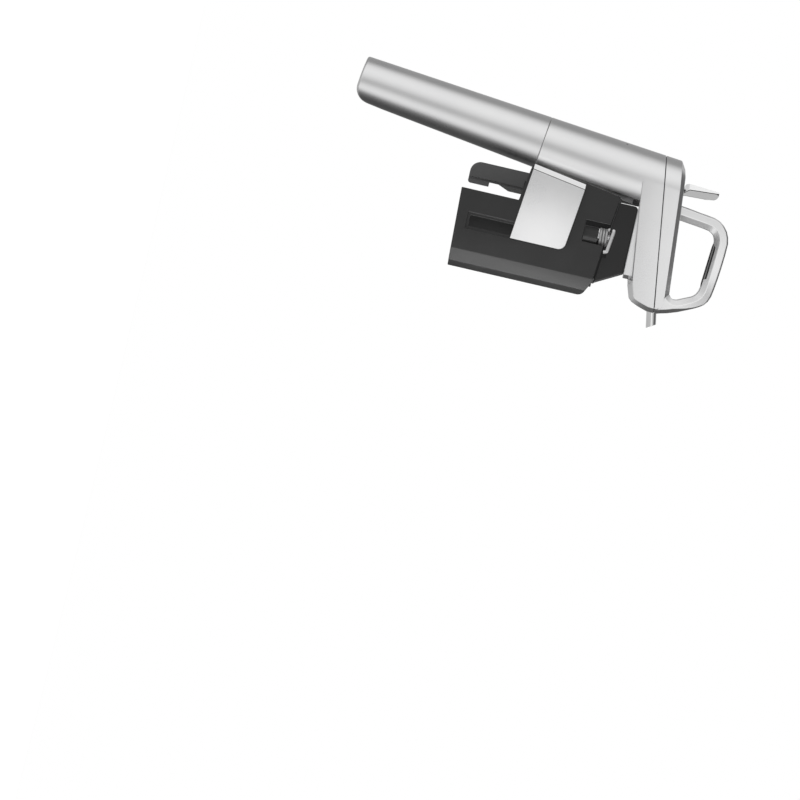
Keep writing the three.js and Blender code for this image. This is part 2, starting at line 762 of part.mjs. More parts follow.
function screwX(z, foot, sides = 16) {
  const headBack = foot - screwHeadHeight;
  const driveRadius = screwHeadRadius / 2;
  return cut(
    joined(
      rodX(screwHeadRadius, headBack, foot, 0, z, sides),
      rodX(screwRadius, headBack - railScrewLength, headBack + seatGap, 0, z, sides)),
    rodX(driveRadius, foot - screwHeadHeight / 2, foot + overrun, 0, z, 6));
}

// The rail, or with some room round it the channel that it runs in
function railSolid(room = 0) {
  const railRun = railFoot + railTop;
  const [notchFoot, shoulder, notchTop] = railNotchShares.map((up) => -railFoot + railRun * up);
  const [back, front] = [-railBack - room, -railFront + room];
  const notchX = -railFront - railNotch;
  const rail = [
    [back, -railFoot, railFootRound], [front, -railFoot, screwRadius], [front, notchFoot], [notchX, notchFoot],
    [notchX, shoulder], [front, notchTop], [front, railTop], [back, railTop],
  ];
  const channel = [[back, -farSide], [front, -farSide], [front, farSide], [back, farSide]];
  const half = railHalfWidth + room;
  const grooveFront = -railFront - railTongue - room;
  const grooveBack = -railFront - railTongue - railGroove + room;
  const inner = half - railGrooveDepth;
  const outer = half + overrun;
  return cut(
    solid(sidePrism(room > 0 ? channel : rail, -half, half)),
    block(grooveBack, grooveFront, inner, outer, -2 * farSide, 2 * farSide),
    block(grooveBack, grooveFront, -outer, -inner, -2 * farSide, 2 * farSide));
}

function buildHead() {
  const rooms = headRooms();
  const bigHalf = headHalfWidth + farSide;
  const seamHalf = seatGap / 2;
  const below = solid(sidePrism([
    [-farSide, -farSide], [farSide, -farSide], [farSide, seamLine(farSide) - seamHalf],
    [-farSide, seamLine(-farSide) - seamHalf],
  ], -bigHalf, bigHalf));
  const above = solid(sidePrism([
    [-farSide, seamLine(-farSide) + seamHalf], [farSide, seamLine(farSide) + seamHalf],
    [farSide, farSide], [-farSide, farSide],
  ], -bigHalf, bigHalf));
  const baseRoom = block(-baseRear - seatGap, farSide, -farSide, farSide, -farSide, bossFoot);
  const form = cut(joined(barrelEnd(), columnSolid()), baseRoom);
  const seatHalf = railHalfWidth + seatGap;
  const railSeat = block(
    -railBack - seatGap, -railFront + overrun, -seatHalf, seatHalf, -railFoot, railTop + seatGap);
  const railScrews = railScrewHeights.map(railScrewRoom);
  const casting = cut(joined(form, bossSolid()).intersect(below), railSeat, ...railScrews, ...rooms);
  piece(dispenser, "body_casting", casting, satin);
  const cover = joined(form, loopSolid()).intersect(above);
  piece(dispenser, "loop_cover", cut(cover, gripSolid(seatGap / 2), ...rooms), satin);
  piece(dispenser, "loop_grip_insert", gripSolid(-seatGap / 2), rubber);
  const rail = cut(railSolid(), ...railScrews);
  piece(dispenser, "rail", rail, blackNylon);
  railScrewHeights.forEach((height, index) => {
    piece(dispenser, "rail_screw_" + (index + 1), screwX(height, railScrewFoot), steel);
  });
  [coverScrewY, -coverScrewY].forEach((y, index) => {
    piece(dispenser, "cover_screw_" + (index + 1), screwZ(coverScrewX, y, hubFoot), steel);
  });
  buildWineWay();
  buildTrigger();
}

function buildWineWay() {
  const hubBore = needleRadius + runningGap;
  const needleTop = hubTop - hubLength / 4;
  const needle = cut(
    rodZ(needleRadius, -needleReach, needleTop, 0, 0, 16),
    rodZ(needleBore, -needleReach - overrun, needleTop + overrun, 0, 0, 12));
  piece(dispenser, "needle", needle, polished);
  const hub = cut(
    rodZ(hubRadius, hubFoot, hubTop, 0, 0, 24),
    rodZ(hubBore, hubFoot - overrun, hubTop + overrun, 0, 0, 16));
  piece(dispenser, "needle_hub", hub, brass);
  const seal = new THREE.TorusGeometry(needleRadius + sealRingRadius, sealRingRadius, 8, 20);
  piece(dispenser, "needle_o_ring", solid(seal.translate(0, 0, ringCentre)), rubber);
  const tube = cut(
    sweptRod(wineRadius, winePath(wineFoot, spoutStart - seatGap)),
    sweptRod(wineBore, winePath(wineFoot - overrun, spoutStart + overrun), 8));
  piece(dispenser, "wine_tube", tube, steel);
  piece(dispenser, "spout", spoutSolid(), polished);
  const gasLine = cut(
    rodX(gasLineRadius, valveX + valveBoreRadius + seatGap, -hubRadius - seatGap, 0, gasLineHeight, 12),
    rodX(gasLineRadius / 2, valveX, 0, 0, gasLineHeight, 8));
  piece(dispenser, "gas_line", gasLine, brass);
}

function buildTrigger() {
  const pin = rodY(triggerPinRadius, -pinHalfLength, pinHalfLength, triggerPivotX, triggerPivotZ);
  piece(dispenser, "trigger_pin", pin, steel);
  piece(dispenser, "trigger", triggerSolid(), polished);
  const coil = spring("trigger_spring", triggerSpringRadius, triggerWire, triggerCurls, triggerPitch);
  coil.rotateX(-Math.PI / 2).translate(triggerPivotX, pocketHalf + 2 * triggerWire, triggerPivotZ);
  piece(dispenser, "trigger_spring", solid(coil), steel);
  const stemFoot = valveFoot + stemSeat;
  const ringHeight = valveTop - springBoreDepth - 2.4 * stemRadius / 2;
  const ringSeat = ringHeight + stemRadius;
  const body = cut(
    rodZ(valveRadius, valveFoot, valveTop, valveX, 0, 24),
    rodZ(stemRadius + runningGap, stemFoot - stemRadius * 1.4, valveTop + overrun, valveX, 0, 20),
    rodZ(2 * stemRadius, ringHeight - stemRadius / 2, valveTop + overrun, valveX, 0, 20),
    rodZ(springBoreRadius, valveTop - springBoreDepth, valveTop + overrun, valveX, 0, 24));
  piece(dispenser, "valve_body", body, brass);
  const stem = joined(
    rodZ(stemRadius, stemFoot, buttonTop - seatGap, valveX, 0, 20),
    rodZ(buttonRadius, buttonTop - buttonThickness, buttonTop, valveX, 0, 20));
  piece(dispenser, "valve_stem", stem, steel);
  const seal = new THREE.TorusGeometry(stemRadius * 1.5, stemRadius * 0.4, 8, 20);
  piece(dispenser, "stem_o_ring", solid(seal.translate(valveX, 0, ringSeat - stemRadius)), rubber);
  const springFoot = valveTop - springBoreDepth + valveWire + seatGap;
  const springRun = buttonTop - buttonThickness - valveWire - seatGap / 2 - springFoot;
  const curls = Math.floor(springRun / (4 * valveWire));
  const across = 1.75 * stemRadius;
  const valveSpring = spring("valve_spring", across, valveWire, curls, springRun / curls, valveWire);
  piece(dispenser, "valve_spring", solid(valveSpring.translate(valveX, 0, springFoot)), steel);
}

// Clamp: a base on the lip, two arms that swing on pins, and the rail's channel
const neckClear = neckRadius + armClearance;
const armInner = armOuter - armWall;
const splitShareAt = (share) => -leverReach + share * (armFront + leverReach);
const armTopLine = (x) => {
  const rearTop = armFront + leverReach * leverTopShare;
  return armTopFront + ((armFront - x) / rearTop) ** armTopCurve * (armTopRear - armTopFront);
};
const knuckleTop = -seatGap;
const lugTop = -spineFoot + lugThickness;
const knuckleFoot = lugTop + seatGap;
const pinFoot = -spineFoot + seatGap;
const coilRoomTop = 6.3;
const pinTop = coilRoomTop + lugThickness;
const armFoot = -clampReach;

function basePlate() {
  const clear = 2 * seatGap;
  const rear = -baseRear;
  const lines = [rear, hingeX, -hingeX / 5].map((x) => [x, armTopLine(x) + clear]);
  const outline = [
    ...lines, [baseFrontFoot, armTopLine(baseFrontFoot) + clear], [baseFrontTop, baseTop, seatGap * 4],
    [rear, baseTop, overrun],
  ];
  return solid(sidePrism(outline, -baseHalfWidth, baseHalfWidth, seatGap * 2));
}

function clampBase() {
  const neck = rodZ(neckClear, -spineFoot - overrun, -runningGap, 0, 0, 48);
  const coilRoom = springRadius + springWire + 2 * seatGap;
  const lugRadius = knuckleRadius - seatGap;
  const lugSolids = [-1, 1].map((side) => rodZ(lugRadius, -spineFoot, lugTop, hingeX, side * hingeY));
  const lugBridge = block(-spineFront, hingeX, -hingeY, hingeY, -spineFoot, lugTop);
  const spineTop = baseTop - overrun;
  const spine = block(-baseRear, -spineFront, -spineHalfWidth, spineHalfWidth, -spineFoot, spineTop);
  const collarFloor = padRingThickness / 5;
  const body = joined(
    basePlate(), spine, lugBridge, ...lugSolids,
    rodZ(neckRadius - seatGap, collarFloor, padRingThickness + 4 * seatGap, 0, 0, 48));
  const hingeRooms = [-1, 1].flatMap((side) => [
    rodZ(pinRadius + runningGap, -spineFoot - overrun, pinTop + seatGap, hingeX, side * hingeY),
    rodZ(coilRoom, collarFloor - overrun, coilRoomTop, hingeX, side * hingeY, 32),
    block(hingeX, hingeX + 2 * coilRoom, side > 0 ? armInner : -baseHalfWidth - overrun,
      side > 0 ? baseHalfWidth + overrun : -armInner, collarFloor - overrun, coilRoomTop),
  ]);
  const seatTop = padRingThickness + seatGap;
  const padSeat = ring(padRingInner - seatGap, padRingOuter + seatGap, -overrun, seatTop, 48);
  return cut(
    body, neck, ...hingeRooms, padSeat, railSolid(seatGap),
    rodZ(guideRadius + runningGap, collarFloor - overrun, baseTop - overrun, 0, 0, 24),
    rodZ(needleRadius * 2, baseTop - 2 * overrun, baseTop + overrun, 0, 0, 24));
}

function buildBase() {
  piece(dispenser, "clamp_base", clampBase(), blackNylon);
  piece(dispenser, "lip_pad", ring(padRingInner, padRingOuter, 0, padRingThickness, 48), rubber);
  const guideFoot = padRingThickness / 2;
  const guide = ring(needleRadius + runningGap, guideRadius, guideFoot, baseTop - overrun - seatGap, 24);
  piece(dispenser, "needle_guide", guide, polished);
  [["left", 1], ["right", -1]].forEach(([side, sign]) => {
    const pin = rodZ(pinRadius, pinFoot, pinTop, hingeX, sign * hingeY);
    piece(dispenser, "pivot_pin_" + side, pin, steel);
    const leg = 2 * springRadius;
    const coil = spring("arm_spring_" + side, springRadius, springWire, springCurls, springPitch, leg);
    const made = solid(coil.translate(0, 0, springWire));
    const seated = sign > 0 ? mirroredY(made) : made;
    const world = geometryOf(seated).translate(hingeX, sign * hingeY, 0);
    piece(dispenser, "arm_spring_" + side, solid(world), steel);
  });
}

// Plan of an arm's wall: the lever curves in towards the handle, the front wraps the neck
const leverShares = [[0, 0.832], [0.11, 0.908], [0.23, 0.958], [0.36, 1]];
const leverLine = (offset) =>
  leverShares.map(([along, out]) => [splitShareAt(along), armOuter * out + offset]);

function armPlan() {
  const outer = leverLine(0);
  const inner = leverLine(-armWall).reverse();
  const corner = armOuter - 2 * armChamferDrop + armWall / 2;
  return [
    ...inner, ...outer, [armChamferStart, armOuter], [armChamferEnd, armOuter - armChamferDrop],
    [armFront, corner], [armFront, armSplit], [0, armSplit], [0, armInner],
  ].reverse();
}

function armSide() {
  const leverEdge = leverEdgeShares.map(([back, down]) => [-leverReach * back, -wristDrop * down]);
  return [
    [-wristX, armFoot], [armFront, armFoot * armFrontFootShare], [armFront, -armTopFront, armWall],
    [baseFrontFoot, armTopFront], [-baseFrontFoot, armTopLine(-baseFrontFoot)],
    [hingeX * 1.5, armTopLine(hingeX * 1.5)], [-leverReach * leverTopShare, armTopRear], ...leverEdge,
    [-wristX, -wristDrop],
  ];
}

function armSolid() {
  const span = armFront + leverReach;
  const beyond = armOuter + overrun;
  const form = solid(sidePrism(armSide(), 0, beyond)).intersect(planPrism(armPlan(), 2 * armFoot, span));
  const knuckle = rodZ(knuckleRadius, knuckleFoot, knuckleTop, hingeX, hingeY);
  const pocketTop = armTopRear + overrun;
  const pocket = block(hingeX - pocketBack, hingeX + pocketFront, 0, beyond, -pocketDepth, pocketTop);
  const neck = rodZ(neckClear, 2 * armFoot, span, 0, 0, 48);
  const [windowFoot, windowTop] = [armFoot * windowFootShare, armFoot * windowTopShare];
  const window = block(-windowBack, -windowFront, 0, beyond, windowFoot, windowTop);
  const recess = block(
    -windowBack - recessMargin, -windowFront + recessMargin, armOuter - armWall / 4, beyond,
    windowFoot - recessMargin, windowTop + recessMargin);
  const lugRoomFoot = -spineFoot - 2 * seatGap;
  const lugRoom = rodZ(knuckleRadius + seatGap / 2, lugRoomFoot, knuckleFoot, hingeX, hingeY, 32);
  return cut(
    joined(cut(form, pocket), knuckle), neck, lugRoom, window, recess,
    rodZ(pinRadius + runningGap, -clampReach, pinTop, hingeX, hingeY));
}

function platePlan() {
  const lapped = ([x, y], index) => (index === 0 ? [x - plateLap, y - plateLap / 2] : [x, y]);
  const inner = leverLine(seatGap).map(lapped);
  const outer = leverLine(seatGap + plateThickness).map(lapped).reverse();
  const face = armOuter + seatGap;
  return [...inner, [-plateFront, face], [-plateFront, face + plateThickness], ...outer];
}

function plateSolid() {
  const heelDrop = wristDrop * leverEdgeShares[1][1];
  const outline = [
    [-plateFront, -wristDrop], [-plateFront, -plateTop, plateRound],
    [-leverReach * plateTopShare, -plateTop], [-leverReach - plateLap, -heelDrop],
  ];
  return solid(sidePrism(outline, 0, armOuter + 2 * overrun)).intersect(planPrism(platePlan(), armFoot, 0));
}

function neckPad() {
  const inner = neckClear - gripPadThickness;
  const outer = neckClear - seatGap / 3;
  const sweep = (from, to, radius, steps = 12) => Array.from({ length: steps + 1 }, (_, step) => {
    const angle = from + ((to - from) * step) / steps;
    return [radius * Math.cos(angle), radius * Math.sin(angle)];
  });
  return planPrism(
    [...sweep(padStart, padEnd, outer), ...sweep(padEnd, padStart, inner)],
    armFoot * padFootShare, armFoot * padTopShare);
}

function buildArms() {
  const arm = armSolid();
  const plate = plateSolid();
  const pad = neckPad();
  [["left", (made) => made], ["right", mirroredY]].forEach(([side, turn]) => {
    piece(dispenser, "arm_" + side, turn(arm), blackNylon);
    piece(dispenser, "side_plate_" + side, turn(plate), satin);
    piece(dispenser, "neck_pad_" + side, turn(pad), rubber);
  });
}

buildHandle();
buildHead();
buildBase();
buildArms();

export default dispenser;
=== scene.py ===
import bmesh
import bpy
from math import atan2, cos, pi, radians, sin, sqrt, tan
from mathutils import Matrix, Vector


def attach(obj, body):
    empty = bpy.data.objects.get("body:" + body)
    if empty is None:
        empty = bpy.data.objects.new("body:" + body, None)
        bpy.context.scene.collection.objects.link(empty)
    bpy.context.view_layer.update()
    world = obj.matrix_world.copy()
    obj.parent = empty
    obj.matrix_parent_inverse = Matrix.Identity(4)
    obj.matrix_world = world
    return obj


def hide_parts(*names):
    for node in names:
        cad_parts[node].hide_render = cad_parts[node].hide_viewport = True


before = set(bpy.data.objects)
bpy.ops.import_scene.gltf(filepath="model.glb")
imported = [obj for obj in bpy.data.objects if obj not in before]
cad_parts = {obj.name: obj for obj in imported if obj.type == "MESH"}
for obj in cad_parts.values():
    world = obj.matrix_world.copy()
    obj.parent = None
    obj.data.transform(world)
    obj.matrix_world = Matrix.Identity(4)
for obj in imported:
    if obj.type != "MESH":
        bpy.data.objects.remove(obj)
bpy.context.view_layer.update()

mm = 0.001


# the view
# The dispenser is seen square from its right side, as it lies over when it pours: the needle runs
# level to the right and dips by the angle of the pour.
pour = radians(13)
eye = Vector((-27, -4000, -38)) * mm
aim = Vector((97.4, 0, -85.7)) * mm
picture_up = Vector((-cos(pour), 0, -sin(pour)))

forward = (aim - eye).normalized()
across = forward.cross(picture_up).normalized()
upright = across.cross(forward)
camera_data = bpy.data.cameras.new("camera")
camera_data.lens = 328
camera_data.sensor_width = 36
camera_data.clip_start, camera_data.clip_end = 0.1, 20
camera = bpy.data.objects.new("camera", camera_data)
camera.matrix_world = Matrix.Translation(eye) @ Matrix((across, upright, -forward)).transposed().to_4x4()
bpy.context.scene.collection.objects.link(camera)
bpy.context.scene.camera = camera
bpy.context.scene.view_settings.view_transform = "Standard"


class Signal:
    """A shader socket that Python's operators work on."""

    def __init__(self, tree, socket=None):
        self.tree, self.socket = tree, socket

    def node(self, kind, settings=None, values=None, output=0):
        made = self.tree.nodes.new(kind)
        for key, value in (settings or {}).items():
            if key == "stops":
                ramp = made.color_ramp
                while len(ramp.elements) < len(value):
                    ramp.elements.new(1)
                for element, (place, shade) in zip(ramp.elements, value):
                    grey = isinstance(shade, (int, float))
                    element.position = place
                    element.color = (shade, shade, shade, 1) if grey else (*shade, 1)
            elif key == "interpolation":
                made.color_ramp.interpolation = value
            else:
                setattr(made, key, value)
        for key, value in (values or {}).items():
            if isinstance(value, Signal):
                self.tree.links.new(value.socket, made.inputs[key])
            else:
                made.inputs[key].default_value = value
        return Signal(self.tree, made.outputs[output] if made.outputs else None)

    def maths(self, operation, *values):
        return self.node("ShaderNodeMath", {"operation": operation}, dict(enumerate(values)))

    def __add__(self, other):
        return self.maths("ADD", self, other)

    def __mul__(self, other):
        return self.maths("MULTIPLY", self, other)

    __radd__, __rmul__ = __add__, __mul__


# the studio
# Soft light from all round, as inside a white tent: bright over the camera, a paler roof, and a dark
# cloth under the handle, which gives metal its bands.
studio = bpy.data.worlds.new("studio")
studio.use_nodes = True
studio.node_tree.nodes.clear()
sky = Signal(studio.node_tree)
way = sky.node("ShaderNodeTexCoord")


def along(direction):
    return sky.node("ShaderNodeVectorMath", {"operation": "DOT_PRODUCT"}, {0: way, 1: direction}, 1)


turn = sky.maths("ARCTAN2", along(picture_up), along((0, -1, 0)))
share = turn * (0.5 / pi) + 0.5
bands = sky.node("ShaderNodeValToRGB", {"interpolation": "EASE", "stops": [
    (0.00, 0.45), (0.08, 0.10), (0.143, 0.07), (0.205, 0.06), (0.253, 0.10), (0.295, 0.22), (0.333, 0.70),
    (0.369, 0.95), (0.403, 0.92), (0.436, 0.79), (0.468, 0.52), (0.50, 0.50), (0.532, 0.74), (0.564, 0.88),
    (0.61, 0.96), (0.655, 0.95), (0.705, 0.88), (0.747, 0.60), (0.795, 0.30), (0.857, 0.33), (0.95, 0.40),
    (1.00, 0.50),
]}, {0: share})
picture_left = (0.225, 0, -0.974)
level = along(picture_left)
ends = sky.node("ShaderNodeValToRGB", {"interpolation": "EASE", "stops": [
    (0.00, 0.12), (0.10, 0.12), (0.16, 0.95), (0.27, 0.90), (0.36, 0.50), (0.75, 0.60), (1.00, 0.50),
]}, {0: level * 0.5 + 0.5})
glow = sky.maths("ABSOLUTE", level)
blend = sky.node("ShaderNodeValToRGB", {"stops": [(0.45, 0.0), (0.95, 1.0)]}, {0: glow})
seen = sky.node("ShaderNodeMix", {"data_type": "RGBA"}, {0: blend, 6: bands, 7: ends}, 2)
straight = sky.node("ShaderNodeLightPath")
tent = sky.node("ShaderNodeMix", {"data_type": "RGBA"}, {0: straight, 6: seen, 7: (1, 1, 1, 1)}, 2)
light = sky.node("ShaderNodeBackground", None, {0: tent, 1: 1.0})
sky.node("ShaderNodeOutputWorld", None, {0: light})
bpy.context.scene.world = studio


def soft_light(name, place, target, width, height, power, only=None):
    """A soft box, which may light one group of pieces only."""
    data = bpy.data.lights.new(name, "AREA")
    data.shape, data.size, data.size_y, data.energy = "RECTANGLE", width, height, power
    lamp = bpy.data.objects.new(name, data)
    lamp.location = place
    lamp.rotation_euler = (Vector(target) - Vector(place)).to_track_quat("-Z", "Y").to_euler()
    lamp.visible_camera = False
    if only:
        lamp.light_linking.receiver_collection = only
    bpy.context.scene.collection.objects.link(lamp)
    return lamp


# A large key light, and small soft boxes that each light one group: the head's side, the plates, the
# undersides of the black mouldings, and the front of the barrel.
head_metal = bpy.data.collections.new("head_metal")
plate_metal = bpy.data.collections.new("plate_metal")
black_mouldings = bpy.data.collections.new("black_mouldings")
key_light = soft_light("key_light", place=(-0.9, -1.1, -0.25), target=(0, 0, 0),
                       width=0.8, height=0.8, power=9)
key_light.visible_glossy = False
soft_light("head_light", place=(0.002, -0.13, 0.052), target=(-0.004, 0, 0.052),
           width=0.11, height=0.07, power=0.0098, only=head_metal)
soft_light("plate_light", place=(-0.002, -0.13, -0.030), target=(-0.002, 0, -0.030),
           width=0.045, height=0.05, power=0.0045, only=plate_metal)
under_light = soft_light("under_light", place=(0.10, -0.05, -0.015), target=(0.0, -0.05, -0.015),
                         width=0.10, height=0.19, power=0.36, only=black_mouldings)
under_light.visible_diffuse = False
barrel_light = soft_light("barrel_light", place=(0.13, -0.075, -0.066), target=(-0.04, -0.01, -0.066),
                          width=0.07, height=0.085, power=0.012, only=head_metal)
barrel_light.data.use_shadow = False


# the floor
# A plain white sheet, level with the foot of what the clamp is made to sit on.
floor_level, floor_radius = -0.3, 1.2


def new_finish(name, fixed=None):
    """A material with its fixed numbers set, and a signal to build its patterns on."""
    material = bpy.data.materials.new(name)
    material.use_nodes = True
    for socket, value in (fixed or {}).items():
        material.node_tree.nodes["Principled BSDF"].inputs[socket].default_value = value
    return material, Signal(material.node_tree)


def wired(material, patterns):
    """The patterns led to the shader's sockets."""
    shader = material.node_tree.nodes["Principled BSDF"]
    for socket, pattern in patterns.items():
        material.node_tree.links.new(pattern.socket, shader.inputs[socket])
    return material


def white_paper():
    material, paper = new_finish("white_paper", {
        "Roughness": 0.9, "Specular IOR Level": 0.1,
        "Emission Color": (1, 1, 1, 1), "Emission Strength": 0.78,
    })
    spot = paper.node("ShaderNodeTexCoord", None, None, 3)
    fibres = paper.node("ShaderNodeTexNoise", None, {"Vector": spot, "Scale": 60.0})
    colour = paper.node("ShaderNodeValToRGB", {"stops": [(0.3, 0.90), (0.7, 0.92)]}, {0: fibres})
    return wired(material, {"Base Color": colour})


floor_mesh = bmesh.new()
bmesh.ops.create_circle(floor_mesh, cap_ends=True, segments=96, radius=floor_radius,
                        matrix=Matrix.Translation((0, 0, floor_level)))
floor_data = bpy.data.meshes.new("floor")
floor_mesh.to_mesh(floor_data)
floor_mesh.free()
floor = bpy.data.objects.new("floor", floor_data)
floor.data.materials.append(white_paper())
bpy.context.scene.collection.objects.link(floor)
floor.visible_glossy = False


# Head: barrel, column and cover. One die-cast, satin-plated form: the round handle barrel runs up
# into a flat-sided column over the needle, and a sloping seam parts the body from the front cover.
def satin_metal():
    material, metal = new_finish("satin_metal", {"Metallic": 1.0})
    spot = metal.node("ShaderNodeTexCoord", None, None, 3)
    clouds = metal.node("ShaderNodeTexNoise", None, {"Vector": spot, "Scale": 45.0, "Detail": 3.0})
    grain = metal.node("ShaderNodeTexNoise", None, {"Vector": spot, "Scale": 5200.0, "Detail": 2.0})
    shades = [(0.25, (0.80, 0.80, 0.805)), (0.75, (0.84, 0.84, 0.84))]
    tone = metal.node("ShaderNodeValToRGB", {"stops": shades}, {0: clouds})
    rough = 0.235 + 0.05 * clouds + 0.05 * grain
    dents = metal.node("ShaderNodeBump", None, {"Strength": 0.06, "Distance": 0.00004, "Height": grain})
    return wired(material, {"Base Color": tone, "Roughness": rough, "Normal": dents})


satin = satin_metal()

# The handle's own frame: its axis leans back by its tilt, and it widens upwards by its taper a side.
handle_back, seat_radius = 53.1, 15.5
tilt, taper = radians(6.7), radians(1.23)
side_taper = radians(3.4)
handle_frame = Matrix.Translation((-handle_back * mm, 0, 0)) @ Matrix.Rotation(tilt, 4, "Y")


def tube_radius(height):
    return seat_radius + height * tan(taper)


def on_tube(angle, height, radius=None):
    """A point of the tapering tube: angle 0 faces the needle, heights run up its own axis (mm)."""
    radius = tube_radius(height) if radius is None else radius
    return handle_frame @ Vector((radius * cos(angle) * mm, radius * sin(angle) * mm, height * mm))


def place_piece(bm, name, material, body, *nodes, sharp=30):
    """Ends a mesh and makes it a piece of the scene, riding on a CAD body."""
    for edge in bm.edges:
        edge.smooth = len(edge.link_faces) == 2 and edge.calc_face_angle(0) < radians(sharp)
    for face in bm.faces:
        face.smooth = True
    data = bpy.data.meshes.new(name)
    bm.to_mesh(data)
    bm.free()
    piece = bpy.data.objects.new(name, data)
    piece.data.materials.append(material)
    bpy.context.scene.collection.objects.link(piece)
    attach(piece, body)
    if nodes:
        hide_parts(*nodes)
    return piece


def sliced(bm, point, normal):
    """Cuts away what lies beyond a plane, in millimetres, and closes the cut."""
    same_point = 1e-7
    bmesh.ops.bisect_plane(bm, geom=bm.verts[:] + bm.edges[:] + bm.faces[:], dist=same_point,
                           plane_co=Vector(point) * mm, plane_no=Vector(normal).normalized(),
                           clear_outer=True)
    bmesh.ops.remove_doubles(bm, verts=bm.verts, dist=same_point)
    bmesh.ops.holes_fill(bm, edges=[edge for edge in bm.edges if edge.is_boundary], sides=0)


def skin(bm, rings, closed=False):
    """Joins rings of points, all of one length, by a skin, with caps unless it closes on itself."""
    rows = [[bm.verts.new(point) for point in ring] for ring in rings]
    count = len(rows[0])
    for above, below in zip(rows, rows[1:] + (rows[:1] if closed else [])):
        for index in range(count):
            after = (index + 1) % count
            bm.faces.new((above[index], above[after], below[after], below[index]))
    if not closed:
        bm.faces.new(rows[0][::-1])
        bm.faces.new(rows[-1])
    bmesh.ops.recalc_face_normals(bm, faces=bm.faces)
    return rows


# The underside, the chin and the nose, cut flat by flat from (x, z) to (x, z), and the top's slope
under = [(-53.1, 16.69), (4.7, 21.1), (8.4, 21.9), (14.6, 24.0), (16.2, 25.8), (17.7, 29.2), (19.3, 34.5),
         (19.6, 39.7), (13.5, 60)]
chamfer = 2.2
top_back, top_height, top_slope = -57.4, 39.2, 0.0882
top_angle = radians(5.04)


def head_form():
    """The column, cut from a D-shaped bar by flat cuts, with the barrel drawn out below it."""
    bm = bmesh.new()
    bar_foot, bar_top, bar_reach, arc_steps = 5, 60, 85, 48
    arc = [side_taper * -1 + (pi + 2 * side_taper) * step / arc_steps for step in range(arc_steps + 1)]
    rings = []
    for height in (bar_foot, bar_top):
        radius = tube_radius(height)
        half = (radius - bar_reach * sin(side_taper)) / cos(side_taper)
        flat = [(-radius * sin(a), radius * cos(a)) for a in arc] + [(bar_reach, -half), (bar_reach, half)]
        rings.append([handle_frame @ Vector((x * mm, y * mm, height * mm)) for x, y in flat])
    skin(bm, rings)
    for (x0, z0), (x1, z1) in zip(under, under[1:]):
        sliced(bm, (x0, 0, z0), (z1 - z0, 0, x0 - x1))

    def side_at(x, z):
        """About the half width of the sides, which the chamfers are laid out from."""
        return (tube_radius(z) - (x + handle_back - z * tan(tilt)) * sin(side_taper)) / cos(side_taper)

    # chamfers of the chin and the nose, a flat cut along each stretch of the side's edge
    for (x0, z0), (x1, z1) in zip(under[1:], under[2:]):
        inward = Vector((-(z1 - z0), 0, x1 - x0)).normalized()
        for hand in (1, -1):
            start, end = Vector((x0, 0, z0)), Vector((x1, 0, z1))
            on_side = [p + inward * chamfer + Vector((0, hand * side_at(p.x, p.z), 0)) for p in (start, end)]
            on_edge = start + Vector((0, hand * (side_at(start.x, start.z) - chamfer), 0))
            normal = (on_side[1] - on_side[0]).cross(on_edge - on_side[0]) * hand
            normal = normal if normal.y * hand > 0 else -normal
            sliced(bm, on_side[0], normal)
    # the long chamfer under the column dies out towards the barrel
    for hand in (1, -1):
        fades = Vector((-40, hand * side_at(-40, 17.7), 17.7))
        on_side = Vector((5.2, hand * side_at(5.2, 23.4), 23.4))
        on_edge = Vector((4.7, hand * (side_at(4.7, 21.1) - chamfer), 21.1))
        normal = (on_side - fades).cross(on_edge - fades)
        sliced(bm, fades, normal if normal.y * hand > 0 else -normal)
    # the top, its back corner rounded in two flats, and the chamfer all round it
    for (x, z), slope in (((-57.4, 39.2), 5.04), ((-57.4, 39.05), 14), ((-61.1, 37.9), 30)):
        sliced(bm, (x, 0, z), (-sin(radians(slope)), 0, cos(radians(slope))))
    top_normal = Vector((-sin(top_angle), 0, cos(top_angle)))
    rim_height = 39.5
    radius = tube_radius(rim_height)
    for angle in arc[::2]:
        out = (handle_frame.to_3x3() @ Vector((-sin(angle), cos(angle), 0))).normalized()
        x, y = -radius * sin(angle), radius * cos(angle)
        rim = (handle_frame @ Vector((x * mm, y * mm, rim_height * mm))) / mm
        rim.z = top_height + top_slope * (rim.x - top_back)
        sliced(bm, rim - top_normal * chamfer, out + top_normal)
    nose_top = Vector((19.6, 0, top_height + top_slope * (19.6 - top_back)))
    sliced(bm, nose_top - Vector((0, 0, chamfer)), (1, 0, 1))
    bmesh.ops.dissolve_limit(bm, angle_limit=radians(0.05), verts=bm.verts, edges=bm.edges)
    draw_barrel(bm, under[0], under[1])
    return bm


barrel_mouth, barrel_wall, bore_depth = -41.25, 2.9, 29


